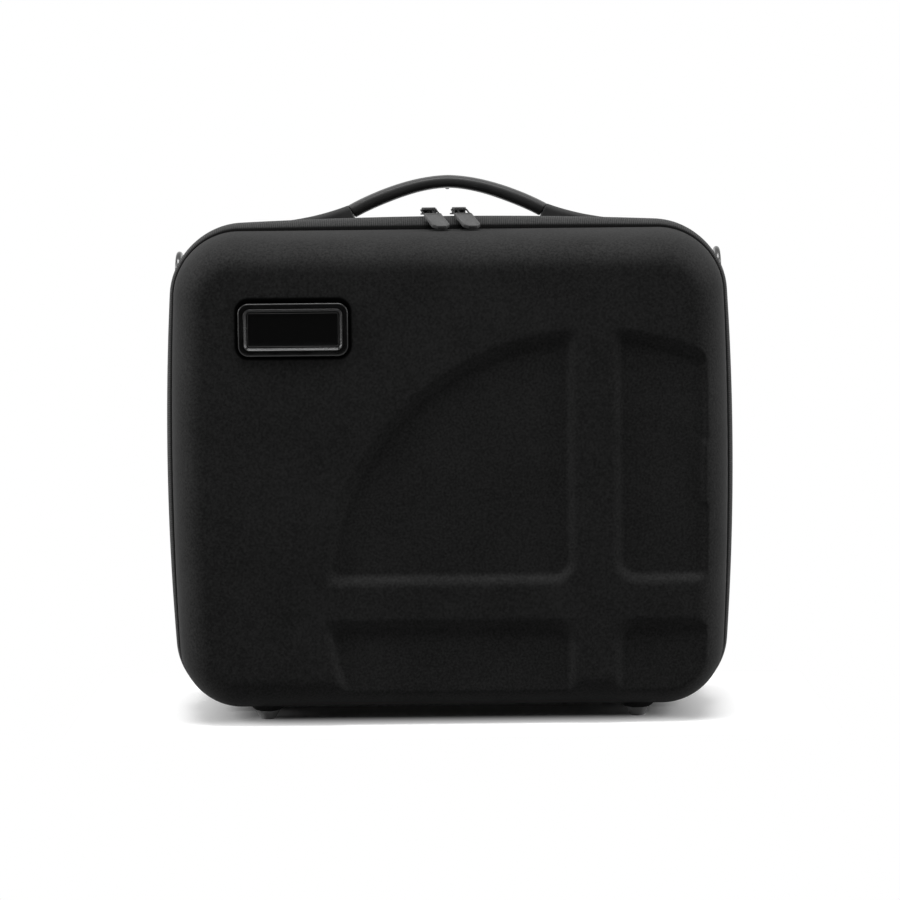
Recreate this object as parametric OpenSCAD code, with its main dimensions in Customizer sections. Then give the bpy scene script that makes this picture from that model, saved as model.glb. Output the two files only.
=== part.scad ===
// Moulded zip case for a studio microphone, standing on its feet.
// Millimetres. X runs across the front, Y from front to back, Z up from the floor.

/* [Shells] */
// Width across the two shells at their rims, at mid height
case_w = 340; // [320:1:360]
// Height of the two shells at their rims
case_h = 291.5; // [270:0.5:310]
// Depth of the front shell, from its rim to its front face
lid_depth = 50; // [44:1:60]
// Depth of the rear shell, from its rim to its back face
body_depth = 60; // [50:1:75]
// Radius of the two top corners at the rim
top_r = 38; // [35:1:44]
// Radius of the two bottom corners at the rim
bottom_r = 37; // [35:1:44]
// How far each side bows out between its corners
side_bow = 4.7; // [1:0.1:6]
// How far the rounded edge runs in from a wall to the flat face
edge_run = 22; // [16:0.5:23]
// Fullness of the rounded edge: 2 is round, 3 is squarer
edge_power = 2.5; // [2:0.1:3]
// Draft of the walls, in degrees
draft = 3; // [2:0.25:4]
// Wall of a moulded shell
shell_t = 4.5; // [3.5:0.25:5]
// Brushed lining bonded inside each shell
lining_t = 1.2; // [0.8:0.1:1.6]
// Woven tape that covers the seam inside each rim
binding_t = 0.8; // [0.5:0.1:1]
// Width of that tape
binding_w = 9; // [6:0.5:12]

/* [Front relief] */
// Radius of the recessed disc that the two raised bars cross
relief_r = 161; // [150:1:168]
// Centre of the disc, in from the right side
relief_in = 83.7; // [78:0.1:90]
// Centre of the disc, up from the bottom of the rim
relief_up = 69.3; // [63:0.1:75]
// Width of each raised bar, half way down its sloping sides
relief_bar = 26.4; // [22:0.2:30]
// Depth of the recess
relief_depth = 3; // [2:0.25:3.5]
// Run of the sloping sides of the recess
relief_slope = 5.6; // [4:0.2:7]
// Fillet where the two bars cross
relief_fillet = 12; // [9:0.5:16]

/* [Badge] */
// Width of the badge frame
badge_w = 65.6; // [60:0.2:70]
// Height of the badge frame
badge_h = 32.7; // [30:0.1:36]
// Corner radius of the badge frame
badge_r = 6.3; // [5:0.1:8]
// Centre of the badge, in from the left side
badge_in = 77.7; // [74:0.1:82]
// Centre of the badge, down from the top of the rim
badge_down = 57.3; // [52:0.1:64]
// Depth of the pocket that the frame sits in
badge_pocket = 1.5; // [1:0.1:2]
// How far the frame stands out of the front face
badge_proud = 2; // [1.5:0.1:3]
// Width of the frame from its edge to the plaque
badge_border = 5.6; // [4.5:0.1:7]
// Width of the raised lip round the plaque
badge_lip = 2.2; // [1.5:0.1:3]
// Height of that lip above the frame
badge_lip_h = 0.8; // [0.5:0.1:1.2]
// Thickness of the plaque
plaque_t = 1.4; // [1:0.1:1.8]
// Diameter of the pegs that hold the frame
peg_d = 3; // [2:0.1:4]
// Diameter of the push nuts on the pegs
push_nut_d = 8; // [7:0.1:10]
// Thickness of the push nuts
push_nut_t = 0.8; // [0.6:0.1:1.2]

/* [Zip band] */
// Depth of each half of the band, from a rim to the zip
band_half = 16; // [13:0.5:19]
// How far the band stands out beyond the rims at the corners
band_rise = 3.2; // [2.4:0.1:4.5]
// How much further it stands out at the middle of a side
band_bow = 1.8; // [0:0.1:3]
// How much further it stands out at the middle of the top
band_arch = 4.8; // [2:0.1:6]
// How deep the groove beside each rim is
groove_depth = 2.6; // [1.5:0.1:3]
// Thickness of the band's tape
tape_t = 1.5; // [1:0.1:2]
// Width of one half of the zip's coil
coil_w = 2.8; // [2.4:0.1:3.2]
// Thickness of the coil under the tape
coil_t = 2.6; // [2:0.1:3]
// Gap between the two halves, which the slider's post runs in
zip_gap = 1.8; // [1.6:0.1:2.4]

/* [Zip sliders] */
// Length of a slider along the zip
slider_len = 10.6; // [9:0.1:11]
// Width of a slider across the zip
slider_w = 9.6; // [9:0.1:11]
// Thickness of a slider's two plates
slider_plate = 0.8; // [0.8:0.1:1.2]
// Gap between a slider's top plate and the tape at the middle
slider_gap_top = 0.8; // [0.8:0.05:1.1]
// Gap between a slider's bottom plate and the coil
slider_gap_bottom = 2.2; // [2:0.1:2.8]
// Where the left slider rests, across from the middle
slider_left_x = -11.3; // [-12:0.1:-10]
// Where the right slider rests, across from the middle
slider_right_x = 6.7; // [6:0.1:8]
// Radius of the turret that holds a pull's loop
turret_r = 2.4; // [2:0.1:2.4]
// Distance of a turret from its slider's middle, towards the other slider
turret_in = 1.2; // [0:0.1:1.5]
// Height of the loop's bar above the top plate
bar_h = 2; // [1.9:0.1:2.4]
// Diameter of the loop's wire
loop_wire = 1; // [0.8:0.1:1.1]
// Length of a pull from its bar to its tip
pull_len = 30; // [28:0.5:30]
// Length of the wire loop before the soft grip begins
pull_start = 8; // [7:0.5:12]
// Width of a pull
pull_w = 11; // [10.8:0.1:12]
// Thickness of a pull
pull_t = 2.4; // [2:0.1:2.6]
// How far each pull has slid outwards along its bar
pull_shift = 1.6; // [0:0.1:1.6]
// Angle of a pull down from level, in degrees
pull_drop = 20.5; // [18:0.5:20.5]
// Angle of a pull to the right of straight forward, in degrees
pull_lean = 17.5; // [0:0.5:20]

/* [Handle] */
// Height of the top of the grip above the rims
handle_h = 32.7; // [30:0.1:40]
// Half the length of the grip
grip_half = 62; // [56:0.5:68]
// How far the grip's top falls from its middle to its ends
grip_fall = 18; // [14:0.5:20]
// Thickness of the grip
grip_t = 8; // [7:0.1:9]
// Width of the grip
grip_w = 20; // [18:0.5:23]
// Middle of the handle, back from the rear rim
handle_y = 15; // [14:0.5:20]
// How far the handle's ends reach from the middle of the case
mount_reach = 118; // [110:1:124]
// Width of the handle's end mounts
mount_w = 24; // [22:0.5:26]
// Thickness of a mount at its tip
mount_tip = 4; // [2:0.25:5]
// Width of the steel strap inside the grip
core_w = 12; // [8:0.5:14]
// Thickness of the strap
core_t = 1.5; // [1:0.1:2]
// How far the strap runs into each mount
core_end = 8; // [5:0.5:9]
// Places of a mount's screws, across from the middle of the case
mount_screw_x = [74, 100];

/* [Strap rings] */
// Inner width of a strap ring
ring_inner = 25; // [22:0.5:28]
// Diameter of a ring's wire
ring_wire = 3.5; // [3:0.1:4]
// Depth of a ring's bar below the top of the rims
ring_down = 29; // [26:0.5:34]
// Middle of a ring, back from the rear rim
ring_y = 17; // [17:0.5:22]
// Flat seat for a tab, in from the widest point of the rim
ring_seat = 3; // [2.5:0.1:3.5]
// Width of a ring's webbing tab
tab_w = 22; // [18:0.5:23]
// Thickness of one layer of webbing
tab_t = 1.3; // [1:0.1:1.5]
// Length of a tab below its ring's bar
tab_len = 42; // [38:1:50]
// Clearance between a ring's bar and its loop
loop_gap = 0.3; // [0.2:0.05:0.5]

/* [Feet] */
// Height of the shells above the floor
foot_h = 5.5; // [5:0.25:7]
// Diameter of a foot at its top
foot_d = 14.8; // [13:0.1:16]
// Diameter of a foot where it meets the floor
foot_tip_d = 9.5; // [9:0.1:11]
// Height of the straight upper part of a foot
foot_straight = 0.8; // [0.4:0.1:1.5]
// Distance of each foot in from the nearer side
foot_in = 57; // [52:1:65]
// Distance of each foot from the middle of the case's depth
foot_y = 38; // [36:0.5:42]

/* [Fasteners] */
// Diameter of the screws
screw_d = 4; // [3:0.1:4.2]
// Diameter of the screws' heads
head_d = 7.4; // [6.4:0.1:8]
// Height of the screws' heads
head_h = 2.4; // [1.8:0.1:2.6]
// Thickness of the plates inside the shells
plate_t = 1.5; // [1:0.1:2]
// Diameter of the feet's screws
foot_screw_d = 3; // [2.5:0.1:3.5]
// Diameter of the heads of the feet's screws
foot_head_d = 5.6; // [5:0.1:6]
// Width across the flats of the feet's nuts
nut_w = 5.5; // [5:0.1:6]
// Height of the feet's nuts
nut_h = 2.4; // [2:0.1:3]
// Diameter of the tabs' rivets
rivet_d = 4; // [3:0.1:4.5]
// Diameter of the rivets' heads
rivet_head_d = 7.5; // [6.5:0.1:8]
// Height of the rivets' heads
rivet_head_h = 1.2; // [1:0.1:1.5]
// Thickness of the flat moulded seats that fittings sit on
seat_t = 6; // [5.5:0.25:7]
// Clearance round screws, rivets and pegs
hole_gap = 0.1; // [0.05:0.05:0.25]

/* [Foam] */
// Clearance of foam from what surrounds it
foam_gap = 0.4; // [0.3:0.1:1]
// Thickness of the pad under the foam insert
base_pad_t = 8; // [5:1:12]
// How far the foam insert stops short of the zip
insert_back = 3; // [2:0.5:5]
// Thickness of the foam in the lid
lid_foam_t = 44; // [30:1:46]
// Depth of the cavities in the insert
cavity_depth = 46; // [35:1:48]
// Corner radius of the cavities
cavity_r = 9; // [4:1:12]
// Left column of cavities: left edge and width
mic_x = [-142, 68];
// Middle column of cavities: left edge and width
mid_x = [-56, 108];
// Right column of cavities: left edge and width
right_x = [70, 74];
// Bottom and height of the microphone's cavity, above the bottom of the rim
mic_z = [32, 226];
// Bottom and height of the cable's cavity
cable_z = [32, 96];
// Bottom and height of the shock mount's cavity
mount_z = [146, 112];
// Bottom and height of the small parts' cavity
small_z = [32, 62];
// Bottom and height of the power supply's cavity
supply_z = [112, 146];

/* [Hidden] */

// Segments of a corner and of a side in every outline, and of a shell's edge
corner_steps = 7;
side_steps = 4;
profile_steps = 7;
fillet_steps = 6;
arc_steps = 16;
outline_n = 4 * (corner_steps + side_steps);
// The zip's two halves leave out the bottom side, where the fabric hinge is
band_n = outline_n - side_steps + 1;
corner_min = 1;
$fn = 48;

// Clearance between pieces, and how far cutters pass what they cut
joint_gap = 0.3;
cut = 1;
core_gap = 0.2;
plaque_gap = 0.15;
coil_gap = 0.3;
// How far seats and plates run past, or stop short of, what sits on them
foot_seat_rim = 0.3;
mount_rim = 2;
tab_rim = 1;
// How far pegs and screws stand out of their nuts, and what is left over a blind hole
peg_end = 1.2;
screw_end = 0.8;
screw_reach = 4.5;

// Depths, from the front to the back. The badge stands out of the front face
case_depth = lid_depth + 2 * band_half + body_depth;
badge_out = badge_proud + badge_lip_h;
lid_front = (badge_out - case_depth) / 2;
lid_rim = lid_front + lid_depth;
split = lid_rim + band_half;
body_rim = split + band_half;

// Heights
rim_bottom = foot_h;
rim_top = rim_bottom + case_h;
rim_mid = rim_bottom + case_h / 2;
face_t = shell_t + relief_depth;

// What lies between a shell's outside and the foam
skin = shell_t + lining_t;
foam_inset = skin + binding_t + foam_gap;

// The handle's arch, and where its mounts begin beside the grip
grip_r = (grip_half * grip_half + grip_fall * grip_fall) / (2 * grip_fall);
grip_angle = asin(grip_half / grip_r);
grip_mid_z = rim_top + handle_h - grip_r;
handle_mid_y = body_rim + handle_y;
mount_from = grip_half - grip_t * sin(grip_angle);

foot_x = case_w / 2 - foot_in;

// The strap rings' tabs, on flat seats in the side walls
seat_x = case_w / 2 - ring_seat;
ring_mid_y = body_rim + ring_y;
tab_top = rim_top - ring_down;
ring_r = (ring_inner + ring_wire) / 2;
ring_x = seat_x + tab_t;
loop_r = ring_wire / 2 + loop_gap;

// ---- Outlines ---------------------------------------------------------------------------

function corner_points(x, z, r, from) =
    [for (i = [0 : corner_steps]) let (a = from + 90 * i / corner_steps)
        [x + r * cos(a), z + r * sin(a)]];

function points_between(p, q) =
    [for (i = [1 : side_steps - 1]) p + (q - p) * i / side_steps];

// The rim's outline before it is bowed, moved in by inset, from the bottom right corner on
function straight_outline(inset) =
    let (
        a = case_w / 2 - side_bow - inset,
        b = case_h / 2 - inset,
        top = max(corner_min, top_r - inset),
        low = max(corner_min, bottom_r - inset),
        corners = [
            corner_points(a - low, low - b, low, -90),
            corner_points(a - top, b - top, top, 0),
            corner_points(top - a, b - top, top, 90),
            corner_points(low - a, low - b, low, 180)
        ]
    )
    [for (k = [0 : 3])
        each concat(corners[k], points_between(corners[k][corner_steps], corners[(k + 1) % 4][0]))];

// The outline with its sides bowed and its top arched, in the case's X and Z
function outline(inset, bow = side_bow, arch = 0) =
    let (p = straight_outline(inset), q = straight_outline(0))
    [for (i = [0 : outline_n - 1])
        let (u = q[i][0] / (case_w / 2 - side_bow), v = q[i][1] / (case_h / 2))
        [p[i][0] + bow * u * (1 - v * v), rim_mid + p[i][1] + arch * max(0, v) * (1 - u * u)]];

// ---- Shells -----------------------------------------------------------------------------

// Sections of a shell as [inset, y], from the lid's rim forward
function shell_sections(depth, inset) =
    [for (i = [0 : profile_steps])
        let (
            t = 90 * i / profile_steps,
            deep = pow(sin(t), 2 / edge_power),
            wide = pow(cos(t), 2 / edge_power)
        )
        [inset + edge_run * (1 - wide) + depth * tan(draft) * deep, lid_rim - depth * deep]];

// Triangles of a closed skin over rings of n points each, with a middle point for each end
// after the last ring
function skin_faces(rings, n) =
    let (last = (rings - 1) * n, middle = rings * n)
    [for (i = [0 : n - 1]) let (j = (i + 1) % n)
        each concat(
            [[i, j, middle], [last + j, last + i, middle + 1]],
            [for (k = [0 : rings - 2]) let (a = k * n + i, b = k * n + j)
                each [[a, a + n, b + n], [a, b + n, b]]]
        )];

module loft(sections) {
    last = len(sections) - 1;
    points = [for (s = sections) for (p = outline(s[0])) [p[0], s[1], p[1]]];
    middles = [[0, sections[0][1], rim_mid], [0, sections[last][1], rim_mid]];
    polyhedron(concat(points, middles), skin_faces(last + 1, outline_n));
}

// A bowl, open at the lid's rim; lip carries it on past the rim, so that it can cut
module bowl(depth, inset, lip = 0) {
    start = lip > 0 ? [[inset, lid_rim + lip]] : [];
    loft(concat(start, shell_sections(depth, inset)));
}

// Turns what is built at the lid's side of the zip to the rear shell's side
module rear() {
    translate([0, 2 * split, 0]) mirror([0, 1, 0]) children();
}

module left_and_right() {
    children();
    mirror([1, 0, 0]) children();
}

module rounded(w, h, r) {
    square([w - 2 * r, h], center = true);
    square([w, h - 2 * r], center = true);
    for (x = [r - w / 2, w / 2 - r], y = [r - h / 2, h / 2 - r]) translate([x, y]) circle(r);
}

// A solid that faces forward: its drawing is in X and Z, and it runs back from y
module facing(x, y, z, t) {
    translate([x, y + t, z]) rotate([90, 0, 0]) linear_extrude(t) children();
}

// Corner points of one quarter of the relief, moved in by inset from its upper edge
function quarter_outline(inset) =
    let (
        g = (relief_bar - relief_slope) / 2 + inset,
        r = relief_r + relief_slope / 2 - inset,
        f = relief_fillet - inset,
        from = asin(g / r)
    )
    concat(
        [for (i = [0 : fillet_steps]) let (a = 180 + 90 * i / fillet_steps)
            [g + f + f * cos(a), g + f + f * sin(a)]],
        [for (i = [0 : arc_steps]) let (a = from + (90 - 2 * from) * i / arc_steps)
            [r * cos(a), r * sin(a)]]
    );

// The cutter of one quarter, with sloping sides
module quarter_cut() {
    rise = relief_slope / relief_depth;
    outer = quarter_outline(-cut * rise);
    inner = quarter_outline(relief_slope);
    floor_y = lid_front + relief_depth;
    top_y = lid_front - cut;
    middle = relief_r / 2;
    points = concat(
        [for (p = inner) [p[0], floor_y, p[1]]],
        [for (p = outer) [p[0], top_y, p[1]]],
        [[middle, floor_y, middle], [middle, top_y, middle]]
    );
    polyhedron(points, skin_faces(2, len(outer)));
}

module relief_cuts() {
    translate([case_w / 2 - relief_in, 0, rim_bottom + relief_up])
        for (x = [0, 1], z = [0, 1]) mirror([x, 0, 0]) mirror([0, 0, z]) quarter_cut();
}

// ---- Seats and spaces for fittings ------------------------------------------------------

module foot_places(y) {
    for (x = [-foot_x, foot_x]) translate([x, y, 0]) children();
}

// The flat seat of a foot in the bottom wall; grow widens it for what must clear it
foot_seat_d = foot_d + 2 * foot_seat_rim;
module foot_seats(y, grow = 0, deeper = 0) {
    foot_places(y) translate([0, 0, rim_bottom])
        cylinder(d = foot_seat_d + 2 * grow, h = seat_t + deeper);
}

module handle_seat(grow = 0, deeper = 0) {
    rim = mount_rim + grow;
    width = mount_w + 2 * rim;
    translate([mount_from - rim, handle_mid_y - width / 2, rim_top - seat_t - deeper])
        cube([mount_reach - mount_from + 2 * rim, width, seat_t + deeper]);
}

module ring_seat_block(x, t, grow = 0) {
    rim = tab_rim + grow;
    translate([x, ring_mid_y - tab_w / 2 - rim, tab_top - tab_len - rim])
        cube([t, tab_w + 2 * rim, tab_len - 4 * tab_rim + 2 * rim]);
}

// Space inside a seat for a fitting's plate, screws and nuts
module foot_pockets(y) {
    foot_places(y) translate([0, 0, rim_bottom + seat_t]) cylinder(d = foot_d, h = inner_reach);
}

module rear_pockets() {
    foot_pockets(foot_y);
    left_and_right() {
        translate([
            mount_from + mount_rim, handle_mid_y - mount_w / 2, rim_top - seat_t - inner_reach
        ])
            cube([mount_reach - mount_from - 2 * mount_rim, mount_w, inner_reach]);
        translate([seat_x - seat_t - inner_reach, ring_mid_y - tab_w / 2, tab_top - tab_len])
            cube([inner_reach, tab_w, tab_len - 6 * tab_rim]);
        translate([ring_x, ring_mid_y, tab_top]) rotate([90, 0, 0])
            cylinder(r = loop_r + tab_t + joint_gap, h = tab_w + 2 * tab_rim, center = true);
    }
}

// Everything of the fittings that reaches in past the linings
inner_reach = plate_t + max(head_h, nut_h + screw_end) + joint_gap;
module rear_fitting_space(grow) {
    foot_seats(foot_y, grow, inner_reach);
    left_and_right() {
        handle_seat(grow, inner_reach);
        ring_seat_block(seat_x - seat_t - inner_reach, seat_t + inner_reach, grow);
    }
}

// ---- Rear shell -------------------------------------------------------------------------

module body_shell() {
    color([0.09, 0.09, 0.095])
    difference() {
        union() {
            rear() bowl(body_depth, 0);
            left_and_right() handle_seat();
            foot_seats(foot_y);
        }
        difference() {
            rear() bowl(body_depth - shell_t, shell_t, cut);
            left_and_right() {
                handle_seat();
                ring_seat_block(seat_x - seat_t, seat_t);
            }
            foot_seats(foot_y);
        }
        left_and_right() {
            ring_seat_block(seat_x, ring_seat + cut);
            mount_screw_holes(screw_d / 2 + hole_gap);
            rivet_holes(rivet_d / 2 + hole_gap);
        }
        foot_places(foot_y) foot_screw_hole();
        rear_pockets();
    }
}

module body_lining() {
    color([0.13, 0.13, 0.14])
    difference() {
        rear() bowl(body_depth - shell_t, shell_t);
        rear() bowl(body_depth - skin, skin, cut);
        rear_fitting_space(joint_gap);
    }
}

module body_seam_binding() {
    color([0.1, 0.1, 0.1])
    difference() {
        rear() seam_binding(body_depth);
        rear_fitting_space(joint_gap);
    }
}

// The tape inside a rim, on the lining
module seam_binding(depth) {
    intersection() {
        difference() {
            bowl(depth - skin, skin);
            bowl(depth - skin - binding_t, skin + binding_t, cut);
        }
        translate([-case_w / 2, lid_rim - binding_w, 0]) cube([case_w, binding_w, rim_top]);
    }
}

// ---- Zip band ---------------------------------------------------------------------------

// A strip along the band's path. Each corner of its section is [rise, y, share], where rise is
// measured out from the rim's outline, and share is how much of the bow and arch it takes
module band_strip(section) {
    k = len(section);
    rings = [for (s = section)
        outline(-s[0], side_bow + band_bow * s[2], band_arch * s[2])];
    points = [for (i = [0 : band_n - 1]) for (j = [0 : k - 1])
        [rings[j][i][0], section[j][1], rings[j][i][1]]];
    walls = [for (i = [0 : band_n - 2]) for (j = [0 : k - 1])
        let (m = (j + 1) % k, a = i * k + j, b = i * k + m, c = a + k, d = b + k)
        each [[a, b, d], [a, d, c]]];
    polyhedron(points, concat(
        [[for (j = [k - 1 : -1 : 0]) j]],
        [[for (j = [0 : k - 1]) (band_n - 1) * k + j]],
        walls
    ));
}

// Share of the band's extra bow and arch at a distance in from the rim
function share(y) = sin(90 * y / band_half);

// The tape's outer line from the rim to the zip, as [rise, distance from the rim]
band_line = [
    [-groove_depth, 0],
    [-groove_depth * 0.2, 0.09 * band_half],
    [band_rise * 0.5, 0.22 * band_half],
    [band_rise * 0.86, 0.5 * band_half],
    [band_rise, band_half]
];
band_last = len(band_line) - 1;
tape_edge = band_half - zip_gap / 2;

module zip_tape_half() {
    outer = [for (i = [0 : band_last])
        let (y = min(tape_edge, band_line[i][1])) [band_line[i][0], lid_rim + y, share(y)]];
    inner = [for (i = [band_last : -1 : 0]) outer[i] - [tape_t, 0, 0]];
    band_strip(concat(outer, inner));
}

// The coil hangs under the last stretch of the tape and slopes with it
module zip_coil_half() {
    before = band_line[band_last - 1];
    f = (tape_edge - coil_w - before[1]) / (tape_edge - before[1]);
    near = [band_rise - tape_t - coil_gap, lid_rim + tape_edge, share(tape_edge)];
    start = [before[0] - tape_t - coil_gap, lid_rim + before[1], share(before[1])];
    far = start + f * (near - start);
    chamfer = coil_t * 0.3;
    band_strip([
        far, near,
        near - [coil_t - chamfer, 0, 0], near - [coil_t, chamfer, 0],
        far - [coil_t, -chamfer, 0], far - [coil_t - chamfer, 0, 0]
    ]);
}

module zip_tape_lid() { color([0.2, 0.2, 0.2]) zip_tape_half(); }
module zip_tape_body() { color([0.2, 0.2, 0.2]) rear() zip_tape_half(); }
module zip_coil_lid() { color([0.12, 0.12, 0.12]) zip_coil_half(); }
module zip_coil_body() { color([0.12, 0.12, 0.12]) rear() zip_coil_half(); }

// The fabric that joins the shells along the bottom, between the zip's two ends
module hinge_strip() {
    half = case_w / 2 - side_bow - bottom_r - joint_gap;
    lid_side = [for (p = band_line) [lid_rim + p[1], rim_bottom - p[0]]];
    rear_side = [for (i = [band_last - 1 : -1 : 0]) [2 * split - lid_side[i][0], lid_side[i][1]]];
    outer = concat(lid_side, rear_side);
    inner = [for (i = [len(outer) - 1 : -1 : 0]) [outer[i][0], outer[i][1] + tape_t]];
    color([0.16, 0.16, 0.16])
    translate([-half, 0, 0]) rotate([90, 0, 90]) linear_extrude(2 * half)
        polygon(concat(outer, inner));
}

// ---- Lid --------------------------------------------------------------------------------

badge_x = badge_in - case_w / 2;
badge_mid_z = rim_top - badge_down;
window_r = 1.2;
badge_back = lid_front + badge_pocket;
peg_x = badge_w / 2 - badge_border;
peg_z = badge_h / 2 - badge_border;
module badge_pegs(d, y, t) {
    for (x = [-peg_x, peg_x], z = [-peg_z, peg_z])
        facing(badge_x + x, y, badge_mid_z + z, t) circle(d = d);
}

module lid_shell() {
    color([0.09, 0.09, 0.095])
    difference() {
        union() {
            difference() {
                bowl(lid_depth, 0);
                relief_cuts();
            }
            bowl(lid_depth - relief_depth, 0);
            foot_seats(-foot_y);
        }
        difference() {
            bowl(lid_depth - face_t, shell_t, cut);
            foot_seats(-foot_y);
        }
        facing(badge_x, lid_front - cut, badge_mid_z, badge_pocket + cut)
            rounded(badge_w + 2 * joint_gap, badge_h + 2 * joint_gap, badge_r + joint_gap);
        badge_pegs(peg_d + 2 * hole_gap, lid_front, face_t + cut);
        foot_places(-foot_y) foot_screw_hole();
        foot_pockets(-foot_y);
    }
}

module lid_lining() {
    color([0.13, 0.13, 0.14])
    difference() {
        bowl(lid_depth - face_t, shell_t);
        bowl(lid_depth - face_t - lining_t, skin, cut);
        badge_pegs(peg_d + 2 * hole_gap, lid_front, face_t + lining_t + cut);
        foot_seats(-foot_y, joint_gap, inner_reach);
    }
}

module lid_seam_binding() {
    color([0.1, 0.1, 0.1])
    difference() {
        seam_binding(lid_depth - relief_depth);
        foot_seats(-foot_y, joint_gap, inner_reach);
    }
}

module badge_frame() {
    depth = badge_pocket + badge_proud;
    window_w = badge_w - 2 * badge_border;
    window_h = badge_h - 2 * badge_border;
    top = badge_back - depth;
    color([0.07, 0.07, 0.07])
    difference() {
        union() {
            facing(badge_x, top, badge_mid_z, depth) rounded(badge_w, badge_h, badge_r);
            facing(badge_x, top - badge_lip_h, badge_mid_z, badge_lip_h)
                rounded(window_w + 2 * badge_lip, window_h + 2 * badge_lip, window_r + badge_lip);
            badge_pegs(peg_d, badge_back, peg_len);
        }
        facing(badge_x, top - badge_lip_h - cut, badge_mid_z, badge_lip_h + plaque_t + cut)
            rounded(window_w, window_h, window_r);
    }
}

// A peg runs through the shell and its lining and out of the push nut
peg_len = face_t - badge_pocket + lining_t + push_nut_t + peg_end;
module badge_plaque() {
    window_w = badge_w - 2 * badge_border - 2 * plaque_gap;
    window_h = badge_h - 2 * badge_border - 2 * plaque_gap;
    color([0.02, 0.02, 0.02])
    facing(badge_x, badge_back - badge_pocket - badge_proud, badge_mid_z, plaque_t)
        rounded(window_w, window_h, window_r - plaque_gap);
}

module badge_push_nuts() {
    y = lid_front + face_t + lining_t;
    color([0.6, 0.6, 0.6])
    difference() {
        badge_pegs(push_nut_d, y, push_nut_t);
        badge_pegs(peg_d + 2 * hole_gap, y - cut, push_nut_t + 2 * cut);
    }
}

// ---- Feet -------------------------------------------------------------------------------

foot_recess = head_h + screw_end;
module foot() {
    edge = 0.5;
    difference() {
        rotate_extrude() polygon([
            [0, 0], [foot_tip_d / 2 - edge, 0], [foot_tip_d / 2, edge],
            [foot_d / 2, foot_h - foot_straight], [foot_d / 2, foot_h], [0, foot_h]
        ]);
        translate([0, 0, -cut]) cylinder(d = foot_head_d + 4 * hole_gap, h = foot_recess + cut);
        cylinder(d = foot_screw_d + 2 * hole_gap, h = foot_h + cut);
    }
}

module foot_screw_hole() {
    translate([0, 0, rim_bottom - cut])
        cylinder(d = foot_screw_d + 2 * hole_gap, h = seat_t + 2 * cut);
}

foot_plate_z = rim_bottom + seat_t;
module foot_screw() {
    top = foot_plate_z + plate_t + nut_h + screw_end;
    translate([0, 0, foot_recess - head_h]) cylinder(d = foot_head_d, h = head_h);
    translate([0, 0, foot_recess]) cylinder(d = foot_screw_d, h = top - foot_recess);
}

// A washer and a nut on each foot's screw, inside the shell
module foot_nut() {
    translate([0, 0, foot_plate_z])
    difference() {
        union() {
            cylinder(d = foot_d - 2 * tab_rim, h = plate_t);
            translate([0, 0, plate_t]) cylinder(d = nut_w / cos(30), h = nut_h, $fn = 6);
        }
        translate([0, 0, -cut])
            cylinder(d = foot_screw_d + 2 * hole_gap, h = plate_t + nut_h + 2 * cut);
    }
}

module body_feet() { color([0.12, 0.12, 0.12]) foot_places(foot_y) foot(); }
module lid_feet() { color([0.12, 0.12, 0.12]) foot_places(-foot_y) foot(); }
module body_foot_screws() { color([0.6, 0.6, 0.6]) foot_places(foot_y) foot_screw(); }
module lid_foot_screws() { color([0.6, 0.6, 0.6]) foot_places(-foot_y) foot_screw(); }
module body_foot_nuts() { color([0.6, 0.6, 0.6]) foot_places(foot_y) foot_nut(); }
module lid_foot_nuts() { color([0.6, 0.6, 0.6]) foot_places(-foot_y) foot_nut(); }

// ---- Handle -----------------------------------------------------------------------------

// Sweeps a drawing along the handle's arch; the drawing's X is the radius
module along_arch(angle) {
    translate([0, handle_mid_y, grip_mid_z]) rotate([90, 0, 0]) rotate([0, 0, 90 - angle])
        rotate_extrude(angle = 2 * angle, $fn = 96) children();
}

module handle_section(w, t, r) {
    translate([grip_r - grip_t / 2, 0]) rounded(t, w, r);
}

function arch_angle(length) = length / grip_r * 180 / PI;
core_angle = grip_angle + arch_angle(core_end);
core_edge = core_t / 4;

module handle_grip() {
    color([0.16, 0.16, 0.17])
    difference() {
        along_arch(grip_angle) handle_section(grip_w, grip_t, grip_t * 0.4);
        along_arch(grip_angle + arch_angle(cut)) handle_section(core_w, core_t, core_edge);
    }
}

module handle_core() {
    color([0.6, 0.6, 0.6]) along_arch(core_angle) handle_section(core_w, core_t, core_edge);
}

// The mount's top falls steeply beside the grip and flattens towards its tip
mount_fall = 1.6;
mount_steps = 8;
function mount_top(x) =
    let (u = (x - grip_half) / (mount_reach - grip_half))
    mount_tip + (handle_h - grip_fall - mount_tip) * pow(1 - u, mount_fall);

module handle_mount() {
    end_z = grip_mid_z + (grip_r - grip_t) * cos(grip_angle) - rim_top;
    profile = concat(
        [[mount_from, 0], [mount_from, end_z]],
        [for (i = [0 : mount_steps])
            let (x = grip_half + (mount_reach - grip_half) * i / mount_steps) [x, mount_top(x)]],
        [[mount_reach, 0]]
    );
    difference() {
        intersection() {
            translate([0, handle_mid_y + mount_w / 2, rim_top]) rotate([90, 0, 0])
                linear_extrude(mount_w) polygon(profile);
            translate([mount_reach - mount_w / 2, handle_mid_y, rim_top]) {
                cylinder(d = mount_w, h = handle_h);
                translate([-mount_reach, -mount_w / 2, 0]) cube([mount_reach, mount_w, handle_h]);
            }
        }
        along_arch(core_angle + arch_angle(cut))
            handle_section(core_w + 2 * core_gap, core_t + core_gap, core_edge);
        mount_screw_holes(screw_d / 2 + hole_gap);
    }
}

// How far a screw's hole reaches up into a mount
function screw_depth(x) = min(screw_reach, mount_top(x) - peg_end);

module mount_screw_holes(r) {
    for (x = mount_screw_x) translate([x, handle_mid_y, rim_top - seat_t - cut])
        cylinder(r = r, h = seat_t + cut + screw_depth(x));
}

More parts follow.
